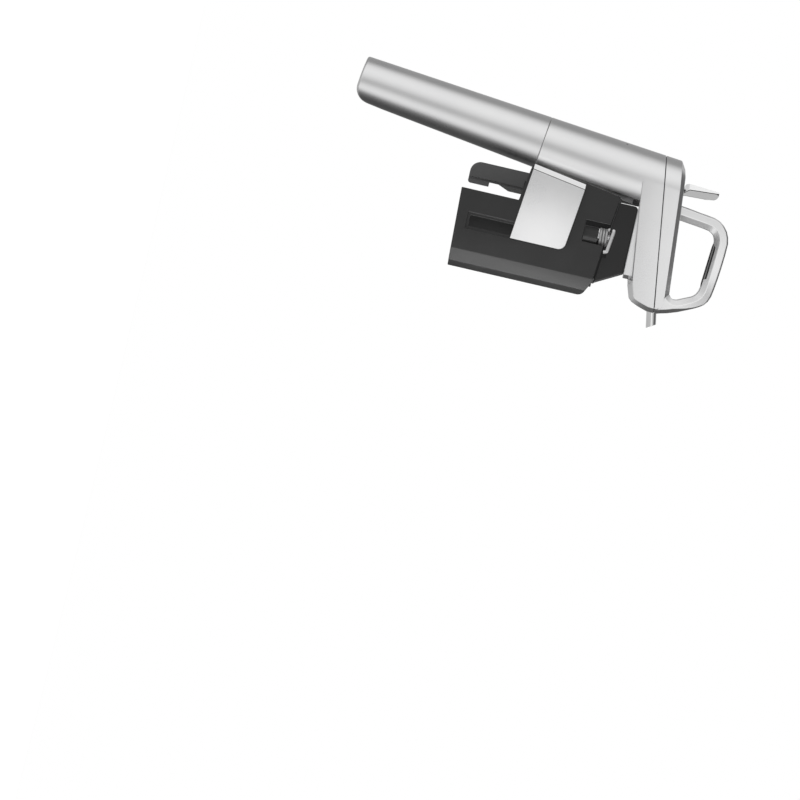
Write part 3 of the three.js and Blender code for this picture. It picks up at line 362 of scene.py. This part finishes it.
def draw_barrel(bm, start, end):
    """Marks the barrel's round on the column's underside and draws it down to the cup's mouth."""
    slope = (end[1] - start[1]) / (end[0] - start[0])
    down = Vector((slope, 0, -1)).normalized()
    underside = max(bm.faces, key=lambda face: (face.normal.dot(down) > 0.9999) * face.calc_area())

    def on_underside(angle):
        height = 15
        for _ in range(4):
            p = on_tube(angle, height) / mm
            height -= p.z - (start[1] + slope * (p.x - start[0]))
        return on_tube(angle, height)

    quarter = pi / 2 - side_taper
    touch = [on_underside(hand * quarter) for hand in (1, -1)]
    ends = [min(underside.verts, key=lambda v: (v.co - point).length) for point in touch]
    steps = 44
    front = [on_underside(quarter * (1 - 2 * k / steps)) for k in range(1, steps)]
    made, _ = bmesh.utils.face_split(underside, ends[0], ends[1], coords=front)
    rounds = [face for face in (made, underside) if face.is_valid]
    disc = min(rounds, key=lambda face: max(v.co.x for v in face.verts))
    drawn = bmesh.ops.extrude_face_region(bm, geom=[disc])
    ring = [v for v in drawn["geom"] if isinstance(v, bmesh.types.BMVert)]
    bmesh.ops.delete(bm, geom=[disc], context="FACES_ONLY")
    inverse = handle_frame.inverted()
    for vert in ring:
        at = inverse @ vert.co
        vert.co = on_tube(atan2(at.y, at.x), barrel_mouth)
    lip = next(face for face in drawn["geom"] if isinstance(face, bmesh.types.BMFace))
    bmesh.ops.inset_region(bm, faces=[lip], thickness=barrel_wall * mm, use_even_offset=True)
    bored = bmesh.ops.extrude_face_region(bm, geom=[lip])
    bmesh.ops.delete(bm, geom=[lip], context="FACES_ONLY")
    deep = [v for v in bored["geom"] if isinstance(v, bmesh.types.BMVert)]
    bmesh.ops.translate(bm, verts=deep, vec=handle_frame.to_3x3() @ Vector((0, 0, bore_depth * mm)))
    bmesh.ops.recalc_face_normals(bm, faces=bm.faces)


# The seam is a flat cut with a narrow gap for the gasket.
seam_point, seam_normal = Vector((-65.6, 0, 26.6)), Vector((-0.1441, 0, 0.9896))
half_gap = 0.15


def seam_cut(bm, above):
    """Keeps the part of the form above or below the seam."""
    side = 1 if above else -1
    sliced(bm, seam_point + seam_normal * half_gap * side, seam_normal * -side)


column = head_form()
bmesh.ops.dissolve_limit(column, angle_limit=radians(0.05), verts=column.verts, edges=column.edges)
cover = column.copy()
seam_cut(cover, True)
seam_cut(column, False)


def softened(piece, width, segments=2, angle=25):
    """Breaks a piece's sharp edges, as casting and moulding do, where both faces are wide enough."""
    least_share = 0.4
    bm = bmesh.new()
    bm.from_mesh(piece.data)
    weight = bm.edges.layers.float.new("bevel_weight_edge")
    for edge in bm.edges:
        narrowest = min(face.calc_area() for face in edge.link_faces) / edge.calc_length()
        if edge.calc_face_angle(0) > radians(angle) and narrowest > least_share * width * mm:
            edge[weight] = 1
    bm.to_mesh(piece.data)
    bm.free()
    soft = piece.modifiers.new("broken_edges", "BEVEL")
    soft.width = width * mm
    soft.segments = segments
    soft.limit_method = "WEIGHT"
    soft.use_clamp_overlap = False
    soft.harden_normals = True
    return piece


def bodied(bm):
    """A passing object for a boolean cut."""
    data = bpy.data.meshes.new("passing")
    bm.to_mesh(data)
    bm.free()
    thing = bpy.data.objects.new("passing", data)
    bpy.context.scene.collection.objects.link(thing)
    return thing


def combined(bm, operation, *tools):
    """The form joined with, or cut by, other forms."""
    thing = bodied(bm)
    helpers = [bodied(tool) for tool in tools]
    for helper in helpers:
        step = thing.modifiers.new("step", "BOOLEAN")
        step.operation = operation
        step.solver = "EXACT"
        step.object = helper
    bpy.context.view_layer.update()
    result = bmesh.new()
    result.from_object(thing, bpy.context.evaluated_depsgraph_get())
    for spare in (thing, *helpers):
        data = spare.data
        bpy.data.objects.remove(spare)
        bpy.data.meshes.remove(data)
    return result


def prism(corners, half):
    """An outline in X and Z pulled out to both sides of the middle, in millimetres."""
    bm = bmesh.new()
    skin(bm, [[Vector((x, y, z)) * mm for x, z in corners] for y in (-half, half)])
    return bm


# The finger loop is cast in one with the front cover: a flat band with a broad inner bevel, narrower
# at the top than at the nose, where it runs flush into the cover's sides. Points are (z, x) of its
# outer edge and its inner edge, and towards the nose also of the inner bevel's start between them.
loop_edge = [
    ((37.5, -41.5), (37.5, -33.6)), ((44, -40.8), (44, -32.9)), ((52, -39.7), (52, -32.0)),
    ((57, -39.1), (56, -31.5)), ((60.0, -38.7), (58.3, -31.1)), ((63.2, -37.5), (60.0, -30.3)),
    ((65.8, -35.6), (61.2, -29.2)), ((68.0, -33.0), (62.0, -27.7)), ((69.4, -30.0), (62.45, -26.1)),
    ((70.2, -26.4), (62.5, -24.2)), ((70.05, -20), (62.15, -18)), ((69.6, -13), (61.7, -11.5)),
    ((69.0, -6.5), (61.3, -5.5)), ((68.3, -0.6), (60.9, -0.2)), ((67.6, 3.6), (60.4, 2.2)),
    ((66.4, 6.8), (59.5, 4.1)), ((64.8, 8.9), (58.3, 5.4)), ((62.8, 10.4), (56.9, 6.3)),
    ((60.4, 11.8), (55.2, 7.1)), ((56, 13.9), (52.2, 8.5)), ((51.2, 16.1), (49.9, 9.6), (50.6, 12.75)),
    ((48.6, 17.0), (47.8, 9.9), (48.0, 12.7)), ((46.4, 17.8), (46.4, 9.3), (45.6, 11.9)),
    ((44.2, 18.4), (45.4, 8.2), (43.6, 10.6)), ((42.4, 18.85), (44.2, 7.2), (42.2, 9.2)),
    ((40.6, 19.4), (42.6, 6.4), (40.9, 8.4)), ((38.0, 19.5), (40.0, 5.6), (38.6, 7.8)),
]
loop_back, loop_length = -41.2, 60.8
half_at_back, half_growth = 6.5, 5.5
nose_back = -5
flush_top, flush_run, flush_lift = 68, 22, 0.004
rim_top, rim_run = 58, 8
sink_below, sink_slope = 42.5, 0.25
bevel_width, bevel_drop, band_rim = 3.3, 2.6, 0.8
nose_rim_growth, nose_drop_loss = 1.4, 0.4


def side_half(x, z):
    """Half width of the column's and the cover's flat sides."""
    out = (x + handle_back) * cos(tilt) - z * sin(tilt)
    high = (x + handle_back) * sin(tilt) + z * cos(tilt)
    return (tube_radius(high) - out * sin(side_taper)) / cos(side_taper)


def loop_half(x, z=70):
    """Half width of the loop's band, which comes flush with the sides towards the nose."""
    narrow = half_at_back + (x - loop_back) / loop_length * half_growth
    flush = min(max((flush_top - z) / flush_run, 0), 1) if x > nose_back else 0
    return narrow + (side_half(x, z) + flush_lift - narrow) * flush


def loop_section(outer, inner, bevel_start=None):
    """One section of the loop: rim chamfer, flat side and inner bevel, on both sides."""
    outer, inner = Vector((outer[1], 0, outer[0])), Vector((inner[1], 0, inner[0]))
    nose = min(max((rim_top - outer.z) / rim_run, 0), 1) if outer.x > nose_back else 0
    rim = band_rim + nose_rim_growth * nose
    drop = bevel_drop - nose_drop_loss * nose
    start = inner.lerp(outer, bevel_width / (inner - outer).length)
    if bevel_start:
        start = Vector((bevel_start[1], 0, bevel_start[0]))
    rim_start = outer.lerp(start, rim / (start - outer).length)
    sunk = max(sink_below - start.z, 0) * sink_slope if nose else 0
    corners = []
    for at, less in ((outer, rim), (rim_start, 0), (start, sunk), (inner, drop + sunk)):
        corners.append(Vector((at.x, loop_half(at.x, at.z) - less, at.z)) * mm)
    return corners + [Vector((at.x, -at.y, at.z)) for at in reversed(corners)]


# The cover's own corners are cut back a little where the loop's take their place.
loop_form = bmesh.new()
skin(loop_form, [loop_section(*edge) for edge in loop_edge])
seam_cut(loop_form, True)
for hand in (1, -1):
    sliced(cover, (17.0, hand * side_half(17.0, 40), 40), (1, hand, 0.3))
sliced(cover, (18.4, 0, 40), (1, 0, 0.4))
cover = combined(cover, "UNION", loop_form)

# In front of the barrel the column's underside lies a step above its chin.
front_step = prism([(-38.6, 17.7), (4.7, 23.4), (4.7, 17), (-38.6, 14)], 30)
column = combined(column, "DIFFERENCE", front_step)

# The boss under the column carries the needle's hub and stops against the clamp's base.
boss_front, boss_corner = 4.6, 7.8
boss = prism([(-37.6, 18.1), (boss_front, 18.1), (boss_front, 26), (-37.6, 26)], 10)
for hand in (1, -1):
    sliced(boss, (boss_front, hand * boss_corner, 20), (1, hand, 0))
hub_radius, hub_depth, hub_middle = 4.1, 20, 16.6
hub_bore = bmesh.new()
bmesh.ops.create_cone(hub_bore, cap_ends=True, segments=48, radius1=hub_radius * mm, radius2=hub_radius * mm,
                      depth=hub_depth * mm, matrix=Matrix.Translation((0, 0, hub_middle * mm)))
column = combined(combined(column, "UNION", boss), "DIFFERENCE", hub_bore)

# The trigger comes out through a slot in the cover, and its hub and the valve sit in a pocket below.
slot_form = prism([(-53.2, 23.5), (-39.4, 23.5), (-39.4, 32.4), (-44.4, 34.2), (-44.4, 60), (-51.7, 60),
                   (-51.7, 34.2), (-53.2, 31.6)], 6.95)
column = combined(column, "DIFFERENCE", slot_form.copy())
cover = combined(cover, "DIFFERENCE", slot_form)

body = softened(place_piece(column, "body_skin", satin, "head", "body_casting"), 0.3)
front = softened(place_piece(cover, "cover_skin", satin, "head", "loop_cover"), 0.3)
for piece in (body, front):
    head_metal.objects.link(piece)


# Rubber, for the vent's filter, the gasket, the grip and the other small soft pieces.
def rubber(name, shade=0.012, rough=0.75):
    material, soft = new_finish(name)
    spot = soft.node("ShaderNodeTexCoord", None, None, 3)
    clouds = soft.node("ShaderNodeTexNoise", None, {"Vector": spot, "Scale": 300.0, "Detail": 3.0})
    tone = soft.node("ShaderNodeValToRGB", {"stops": [(0.3, shade * 0.85), (0.7, shade * 1.15)]}, {0: clouds})
    return wired(material, {"Base Color": tone, "Roughness": rough - 0.05 + 0.1 * clouds})


black_rubber = rubber("black_rubber")

# A pin-hole vent in the barrel's back, closed by a small dark filter set just under the surface.
vent_angle, vent_height, vent_radius, vent_depth, vent_inset = radians(-160), 2.4, 0.45, 0.4, 0.17
vent = bmesh.new()
bmesh.ops.create_cone(vent, cap_ends=True, segments=24, radius1=vent_radius * mm, radius2=vent_radius * mm,
                      depth=vent_depth * mm)
vent_way = (on_tube(vent_angle, vent_height) - on_tube(0, vent_height, 0)).normalized()
vent.transform(Matrix.Translation(on_tube(vent_angle, vent_height, tube_radius(vent_height) - vent_inset))
               @ vent_way.to_track_quat("Z", "Y").to_matrix().to_4x4())
place_piece(vent, "vent", black_rubber, "head")


# The gasket in the seam: a thin dark sheet of rubber, set back from the outside, with the middle
# cut out so that only its edge lies between the column and the cover.
def scaled_about(bm, centre, factors):
    """The mesh made smaller or larger about a place, by one factor for each axis."""
    for vert in bm.verts:
        away = vert.co - centre
        vert.co = centre + Vector([a * b for a, b in zip(away, factors)])
    return bm


gasket_half, edge_back, hollow_size = 0.12, (0.988, 0.97, 1), (0.92, 0.8, 1)
gasket = head_form()
sliced(gasket, seam_point + seam_normal * gasket_half, seam_normal)
sliced(gasket, seam_point - seam_normal * gasket_half, -seam_normal)
middle = Vector((-23.6, 0, 32.6)) * mm
hollow = scaled_about(gasket.copy(), middle, hollow_size)
for vert in hollow.verts:
    above = (vert.co - seam_point * mm).dot(seam_normal) > 0
    vert.co += seam_normal * mm * (1 if above else -1)
trigger_gap = prism([(-54, 20), (-38, 20), (-38, 50), (-54, 50)], 7.2)
gasket = combined(scaled_about(gasket, middle, edge_back), "DIFFERENCE", hollow, trigger_gap)
place_piece(gasket, "seam_gasket", black_rubber, "head")


# Grip insert: a black rubber strip let into the loop's far arm, which laps over both its bevels. A paler
# strip along each lap is a painted highlight, where the rounded rubber catches the light.
grip_start, grip_end, end_fade = -24.8, -0.4, 2.2
grip_lap, grip_lap_width, grip_proud = 1.85, 1.45, 0.3
inner_face_start, inner_face, inner_face_slope = -24.5, 62.5, 1.55 / 24
bevel_inset = 2.75
# Paler rubber, a painted highlight: it stands for the light caught along the grip's rounded laps.
painted_highlight_rubber = rubber("painted_highlight_rubber", 0.14, 0.6)


def grip_lap_at(x, share):
    """A place on the lap: share 0 is at the inside face, 1 at the lap's rim; y and z in millimetres."""
    ends = min(1, 0.2 + min(x - grip_start, grip_end - x) / end_fade)
    face = inner_face - (x - inner_face_start) * inner_face_slope
    return (loop_half(x) - bevel_inset + grip_lap_width * ends * share,
            face - grip_proud * ends + grip_lap * ends * share)


grip_parts = 32
grip_steps = [grip_start + (grip_end - grip_start) * step / grip_parts for step in range(grip_parts + 1)]
grip = bmesh.new()
rings = []
for x in grip_steps:
    (edge_y, face), (rim_y, rim_z) = grip_lap_at(x, 0), grip_lap_at(x, 1)
    half = [(0, face), (edge_y, face), (rim_y, rim_z), (rim_y - 0.3, rim_z + 0.5), (0, rim_z + 0.5)]
    rings.append([Vector((x, y, z)) * mm for y, z in half + [(-y, z) for y, z in half[-2:0:-1]]])
skin(grip, rings)
grip_skin = place_piece(grip, "grip_skin", black_rubber, "head", "loop_grip_insert", sharp=20)
# The pale strips along the laps are painted highlight.
for side, hand in (("left", 1), ("right", -1)):
    line = bmesh.new()
    rings = []
    for x in grip_steps[1:-1]:
        (low_y, low_z), (high_y, high_z) = grip_lap_at(x, 0.30), grip_lap_at(x, 0.58)
        section = [(low_y + 0.05, low_z - 0.04), (high_y + 0.05, high_z - 0.04),
                   (high_y - 0.1, high_z + 0.08), (low_y - 0.1, low_z + 0.08)]
        rings.append([Vector((x, hand * y, z)) * mm for y, z in section])
    skin(line, rings)
    place_piece(line, "grip_line_" + side, painted_highlight_rubber, "head")


# Capsule cup: a spun cup in the same satin metal, screwed on the barrel's mouth. Its end is domed a
# little, with a tight rim at the back and a broad rounding at the front.
cup_end, cup_mouth = -147.3, -41.4
cup_wall, end_round, rim_round, end_swell = 1.5, 8.0, 1.1, 0.7
mouth_chamfer, floor_thickness, bore_narrowing = 0.25, 12, 2.2


def cup_floor(x, y):
    """Height of the cup's outside end over a place in its plan."""
    radius = tube_radius(cup_end)
    start = radius - end_round
    rise = end_round - sqrt(max(end_round ** 2 - max(x - start, 0) ** 2, 0))
    return cup_end - end_swell * (1 - (x * x + y * y) / radius ** 2) + rise


def capsule_cup():
    bm = bmesh.new()
    sides = 144
    angles = [2 * pi * k / sides for k in range(sides)]
    radius = tube_radius(cup_end)
    rings = []
    for share in (0.06, 0.2, 0.34, 0.44, 0.52, 0.6, 0.67, 0.74, 0.8, 0.86, 0.9):
        plan = [(share * radius * cos(a), share * radius * sin(a)) for a in angles]
        rings.append([handle_frame @ Vector((x * mm, y * mm, cup_floor(x, y) * mm)) for x, y in plan])
    for step in range(7):
        turn = pi / 2 * step / 6
        reach = radius - rim_round * (1 - sin(turn))
        lift = rim_round * (1 - cos(turn))
        rings.append([on_tube(a, cup_floor(reach * cos(a), reach * sin(a)) + lift, reach) for a in angles])
    foot = [cup_floor(radius * cos(a), radius * sin(a)) + rim_round for a in angles]
    top = cup_mouth - mouth_chamfer
    for step in range(1, 13):
        rings.append([on_tube(a, low + (top - low) * step / 12) for a, low in zip(angles, foot)])
    mouth = tube_radius(cup_mouth)
    inside = mouth - cup_wall
    for height, across in ((cup_mouth, mouth - mouth_chamfer), (cup_mouth, inside),
                           (cup_end + floor_thickness, inside - bore_narrowing),
                           (cup_end + floor_thickness - 0.5, 2)):
        rings.append([on_tube(a, height, across) for a in angles])
    skin(bm, rings)
    return bm


cup = place_piece(capsule_cup(), "cup_skin", satin, "cup", "capsule_cup", sharp=9)

# A thin dark ring closes the joint between the cup and the barrel.
ring_foot, ring_top, ring_outer, ring_inner, ring_sides = 0.02, 0.13, 0.3, 1.4, 96
joint_ring = bmesh.new()
skin(joint_ring, [[on_tube(2 * pi * k / ring_sides, cup_mouth + height, tube_radius(cup_mouth) - inset)
                   for k in range(ring_sides)]
                  for height, inset in ((ring_foot, ring_outer), (ring_top, ring_outer),
                                        (ring_top, ring_inner), (ring_foot, ring_inner))], closed=True)
place_piece(joint_ring, "joint_ring", black_rubber, "head")


# Trigger: a polished lever with a crowned top shell over its body; a black strip between them is painted
# shade in the groove under the shell's lip.
def polished_metal(name, shade, rough):
    material, metal = new_finish(name, {"Metallic": 1.0})
    spot = metal.node("ShaderNodeTexCoord", None, None, 3)
    smears = metal.node("ShaderNodeTexNoise", None, {"Vector": spot, "Scale": 120.0, "Detail": 4.0})
    low = [share * 0.96 for share in shade]
    tone = metal.node("ShaderNodeValToRGB", {"stops": [(0.3, low), (0.7, shade)]}, {0: smears})
    return wired(material, {"Base Color": tone, "Roughness": rough + 0.06 * smears})


polished = polished_metal("polished_steel", (0.93, 0.93, 0.93), 0.06)
steel = polished_metal("steel", (0.60, 0.60, 0.61), 0.22)
brass = polished_metal("brass", (0.78, 0.56, 0.25), 0.2)

# Heights (z) with the bottom, the lip and the crown of the lever there (x)
lever = [
    (31, -46.6, -48.6, -50.9), (39.7, -46.6, -47.9, -51.0), (40.8, -46.8, -48.6, -53.2),
    (42.0, -47, -49.7, -53.75), (43.3, -47, -50.6, -53.8), (48, -47.2, -50.95, -53.5),
    (53, -47.4, -51.3, -53.15), (57.4, -48.1, -51.6, -52.85), (58.6, -49.0, -51.65, -52.75),
    (59.3, -50.4, -51.7, -52.6),
]
shell_half, body_half, groove_shade_half = 6.5, 6.3, 6.22
groove_shade_half_gap, tip_height, crown_slope = 0.15, 58.4, 0.6


def lever_body(z, bottom, lip, crown):
    return [(bottom, body_half - 0.4, z), (bottom - 0.25, body_half - 0.1, z), (lip + 0.3, body_half, z),
            (lip + 0.16, body_half, z)]


def lever_groove_shade(z, bottom, lip, crown):
    tip = max(z - tip_height, 0)
    half = groove_shade_half + min(tip, 0.12)
    return [(lip + groove_shade_half_gap + tip, half, z), (lip - groove_shade_half_gap, half, z)]


def lever_shell(z, bottom, lip, crown):
    rise = lip - 0.3 - crown
    return [(lip - 0.16, body_half, z), (lip - 0.3, shell_half, z),
            (crown, shell_half - rise * crown_slope, z)]


def lever_piece(name, section, material, stations, *nodes):
    bm = bmesh.new()
    rings = []
    for station in stations:
        half = section(*station)
        rings.append([Vector(p) * mm for p in half] + [Vector((x, -y, z)) * mm for x, y, z in reversed(half)])
    skin(bm, rings)
    return place_piece(bm, name, material, "trigger", *nodes)


lever_under = softened(lever_piece("trigger_body", lever_body, polished, lever, "trigger"), 0.06)
softened(lever_piece("trigger_shell", lever_shell, polished, lever), 0.06)
# The black strip between body and shell is painted shade.
lever_piece("trigger_groove_shade", lever_groove_shade, black_rubber, lever)


# Spout: a short thin-walled polished steel tube, pressed into the nose above the seam and cut off on
# the slant.
spout_tilt, spout_outer, spout_inner, spout_slant = radians(10.6), 2.75, 2.2, 0.36
spout_start, spout_end, spout_height = 12.0, 26.9, 34.23


def spout_ring(along, radius, slant=0.0):
    ring = []
    for step in range(64):
        angle = 2 * pi * step / 64
        up = radius * cos(angle)
        reach = along / cos(spout_tilt) - slant * up
        ring.append(Vector((reach * cos(spout_tilt) - up * sin(spout_tilt), radius * sin(angle),
                            spout_height + reach * sin(spout_tilt) + up * cos(spout_tilt))) * mm)
    return ring


tube = bmesh.new()
skin(tube, [spout_ring(spout_start, spout_outer), spout_ring(spout_end, spout_outer, spout_slant),
            spout_ring(spout_end, spout_inner, spout_slant), spout_ring(spout_start + 2, spout_inner)])
spout = softened(place_piece(tube, "spout_skin", polished, "head", "spout"), 0.12)
head_metal.objects.link(spout)


# The clamp's base, its arms and the rail: mouldings in black nylon with a fine matt grain. The arms
# swing on pins in the base, and the rail is screwed to the handle.
def black_nylon(name, shade):
    material, nylon = new_finish(name, {"Specular IOR Level": 0.35})
    spot = nylon.node("ShaderNodeTexCoord", None, None, 3)
    clouds = nylon.node("ShaderNodeTexNoise", None, {"Vector": spot, "Scale": 80.0, "Detail": 2.0})
    grain = nylon.node("ShaderNodeTexNoise", None, {"Vector": spot, "Scale": 4200.0, "Detail": 2.0})
    shades = [(0.3, shade * 0.93), (0.7, shade * 1.07)]
    tone = nylon.node("ShaderNodeValToRGB", {"stops": shades}, {0: clouds})
    dents = nylon.node("ShaderNodeBump", None, {"Strength": 0.12, "Distance": 0.00005, "Height": grain})
    return wired(material, {"Base Color": tone, "Roughness": 0.5 + 0.1 * clouds, "Normal": dents})


# One black nylon in three shades: the base is painted darker than the arms, as painted shade, and the rail
# lighter, as painted light where it lies in the handle's shadow.
arm_nylon = black_nylon("arm_nylon", 0.018)
base_nylon_painted_shade = black_nylon("base_nylon_painted_shade", 0.008)
rail_nylon_painted_light = black_nylon("rail_nylon_painted_light", 0.06)


def moulded(node, name, material, body, removed=None, added=None, facets=()):
    """A moulding with the CAD solid's form, a cut or an addition where it needs one, and rounded edges."""
    bm = bmesh.new()
    bm.from_mesh(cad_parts[node].data)
    bm.transform(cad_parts[node].matrix_world)
    bmesh.ops.remove_doubles(bm, verts=bm.verts, dist=2e-6)
    bmesh.ops.dissolve_limit(bm, angle_limit=radians(1), verts=bm.verts, edges=bm.edges)
    if removed:
        bm = combined(bm, "DIFFERENCE", removed)
    if added:
        bm = combined(bm, "UNION", added)
    for point, normal in facets:
        sliced(bm, point, normal)
    piece = softened(place_piece(bm, name, material, body, node), 0.35, 3, 18)
    piece.visible_glossy = False
    black_mouldings.objects.link(piece)


moulded("clamp_base", "base_moulding", base_nylon_painted_shade, "clamp_base",
        removed=prism([(11.2, -3.0), (16, -3.0), (16, 4), (11.2, 4)], 12),
        facets=[((9.74, hand * 18, 3.27), (0.618, hand * 0.707, 0.342)) for hand in (1, -1)])
moulded("rail", "rail_moulding", rail_nylon_painted_light, "head",
        added=prism([(-38.6, 5), (-35.35, 5), (-35.35, 18.0), (-38.6, 18.0)], 4))
for side, hand in (("left", 1), ("right", -1)):
    moulded("arm_" + side, "arm_moulding_" + side, arm_nylon, "arm_" + side,
            facets=[((17.3, hand * 12.1, -30), (0.94, hand * 0.342, 0))])


# A thin black lip hangs from the base inside each arm and closes the joint between them.
def curved_strip(outer, inner, start, sweep, heights, hand):
    """A strip curved round the needle's line, from start over sweep degrees."""
    steps = 40
    turns = [radians(start + sweep * step / steps) for step in range(steps + 1)]
    edge = [(outer * cos(a), outer * sin(a)) for a in turns]
    edge += [(inner * cos(a), inner * sin(a)) for a in reversed(turns)]
    bm = bmesh.new()
    skin(bm, [[Vector((x, hand * y, z)) * mm for x, y in edge] for z in heights])
    return bm


for side, hand in (("left", 1), ("right", -1)):
    lip = curved_strip(15.8, 15.2, 58, 84, (-8, 4.3), hand)
    place_piece(lip, "joint_lip_" + side, black_rubber, "clamp_base")


# Neck pads: soft black strips inside the arms, behind their windows.
for side, hand in (("left", 1), ("right", -1)):
    pad = curved_strip(15.1, 14.0, 20, 122, (-74.1, -44.6), hand)
    pad_piece = place_piece(pad, "pad_skin_" + side, black_rubber, "arm_" + side, "neck_pad_" + side)
    softened(pad_piece, 0.2)


# Side plates: satin metal caps let into the arms' sides, flat, with a rolled strip along the top behind
# a fine joint, and a black strip under the joint that is painted shade along the plate's fold. They are bare.
plate_face, arm_face = 21.1, 20.0
arm_curve_start, arm_curve_run, arm_curve_depth, arm_curve_power = -22, 23, 3.36, 1.2
plate_strip_tilt = radians(20)
crease_start, crease_end = (-42.6, -42.8), (-37.8, -12.9)
joint_half, plate_lift = 0.16, 0.3


def arm_side_at(x):
    """Half width of the arm's outside, which curves in towards the handle."""
    share = max((arm_curve_start - x) / arm_curve_run, 0)
    return min(arm_face, arm_face - arm_curve_depth * share ** arm_curve_power)


def plate_solid(corners, hand):
    """A plate over the arm's side: corners are (x, z, y of the outer face)."""
    bm = bmesh.new()
    rings = [[Vector((x, hand * y, z)) * mm for x, z, y in corners],
             [Vector((x, hand * (arm_side_at(x) + plate_lift), z)) * mm for x, z, y in corners]]
    skin(bm, rings)
    return bm


edge_slope, corner_round = 0.11, 3.6
corner = (-2.9, -12.9 - edge_slope * 36)
bend = []
for angle in range(90, -1, -15):
    inward, along_edge = 1 - cos(radians(angle)), 1 - sin(radians(angle))
    bend.append((corner[0] - corner_round * inward,
                 corner[1] - corner_round * (along_edge - edge_slope * inward), plate_face))
strip_width = 2.9
strip_drop = strip_width * tan(plate_strip_tilt)
(x0, z0), (x1, z1) = crease_start, crease_end
for side, hand in (("left", 1), ("right", -1)):
    sheet = [(x0 + joint_half, z0, plate_face), (x1 + joint_half, z1, plate_face),
             (-30, z1 - edge_slope * 7.8, plate_face), (-22, z1 - edge_slope * 15.8, plate_face), *bend,
             (-2.9, -47.0, plate_face), (-22, -45.03, plate_face), (-30, -44.2, plate_face)]
    strip = [(-45.5, -42.6, plate_face - strip_drop), (-40.7, -12.9, plate_face - strip_drop),
             (x1 - joint_half, z1, plate_face), (x0 - joint_half, z0, plate_face)]
    # A black strip under the joint: painted shade along the plate's fold.
    fold_shade_strip = [(x0 - 1, z0 + 0.3, plate_face - 0.5), (x1 - 1, z1 - 0.3, plate_face - 0.5),
              (x1 + 1, z1 - 0.3, plate_face - 0.25), (x0 + 1, z0 + 0.3, plate_face - 0.25)]
    arm = "arm_" + side
    plate = place_piece(plate_solid(sheet, hand), "plate_" + side, satin, arm, "side_plate_" + side)
    softened(plate, 0.2)
    top_strip = place_piece(plate_solid(strip, hand), "plate_strip_" + side, satin, arm)
    softened(top_strip, 0.12)
    for piece in (plate, top_strip):
        piece.visible_glossy = False
        plate_metal.objects.link(piece)
    joint = place_piece(plate_solid(fold_shade_strip, hand), "plate_joint_" + side, black_rubber, arm)
    joint.visible_glossy = False


# Arm springs: close coils of thick bright wire round the arms' pins. The far end stands out of the
# coil, bends into a straight leg along the base and hooks back.
def wire_along(points, radius, sides=12):
    """A round wire along points, in millimetres, with flat ends."""
    bm = bmesh.new()
    rings = []
    up = Vector((0, 0, 1))
    for index, point in enumerate(points):
        ahead = points[min(index + 1, len(points) - 1)]
        behind = points[max(index - 1, 0)]
        run = (ahead - behind).normalized()
        up = (up - run * up.dot(run)).normalized()
        out = run.cross(up)
        rings.append([(point + (up * cos(2 * pi * k / sides) + out * sin(2 * pi * k / sides)) * radius) * mm
                      for k in range(sides)])
    skin(bm, rings)
    return bm


def rounded_path(points, radius, steps=5):
    """The corners of a path turned into arcs."""
    path = [points[0]]
    for before, corner, after in zip(points, points[1:], points[2:]):
        cut_in = min(radius, (before - corner).length * 0.45, (after - corner).length * 0.45)
        start = corner + (before - corner).normalized() * cut_in
        end = corner + (after - corner).normalized() * cut_in
        for step in range(steps + 1):
            share = step / steps
            path.append(start.lerp(corner, share).lerp(corner.lerp(end, share), share))
    return path + [points[-1]]


spring_steel = polished_metal("spring_steel", (0.50, 0.50, 0.50), 0.45)
# The leg's paler wire is a painted highlight: coil and leg are one spring steel.
spring_steel_painted_highlight = polished_metal("spring_steel_painted_highlight", (0.72, 0.72, 0.72), 0.3)
hinge_x, hinge_y = -14.8, 13.5
coil_radius, coil_wire, coil_pitch, coil_foot, coil_turns = 4.15, 0.76, 1.53, 0.8, 3
leg_wire, turn_steps = 1.2, 32
for side, hand in (("left", 1), ("right", -1)):
    coil = []
    for step in range(turn_steps * coil_turns + 1):
        angle = 2 * pi * step / turn_steps
        coil.append(Vector((hinge_x - coil_radius * cos(angle), hand * (hinge_y + coil_radius * sin(angle)),
                            coil_foot + coil_pitch * step / turn_steps)))
    leg = rounded_path([Vector((-19.2, hand * 15.6, 5.0)), Vector((-19.6, hand * 17.3, 7.8)),
                        Vector((-7.3, hand * 17.3, 6.3)), Vector((-6.9, hand * 17.0, 4.6))], 0.9, 6)
    spring = place_piece(wire_along(coil, coil_wire), "spring_coil_" + side, spring_steel, "clamp_base",
                         "arm_spring_" + side, sharp=60)
    spring_leg = place_piece(wire_along(leg, leg_wire), "spring_leg_" + side, spring_steel_painted_highlight, "clamp_base",
                             sharp=60)


# The pieces that keep the CAD solids' own meshes: pins, screws, seals, springs and the gas parts.
# Each gets the finish of what it is made of.
finishes = {
    polished: ["needle", "needle_guide"],
    steel: ["gas_capsule", "piercer", "valve_stem", "valve_spring", "trigger_pin", "trigger_spring",
            "regulator_spring", "wine_tube", "rail_screw_1", "rail_screw_2", "cover_screw_1", "cover_screw_2",
            "pivot_pin_left", "pivot_pin_right"],
    brass: ["needle_hub", "gas_line", "valve_body", "regulator_body", "regulator_piston", "thread_collar"],
    black_rubber: ["lip_pad", "needle_o_ring", "stem_o_ring", "capsule_seal", "cup_pad"],
}
for finish, names in finishes.items():
    for name in names:
        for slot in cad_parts[name].material_slots:
            slot.link = "OBJECT"
            slot.material = finish
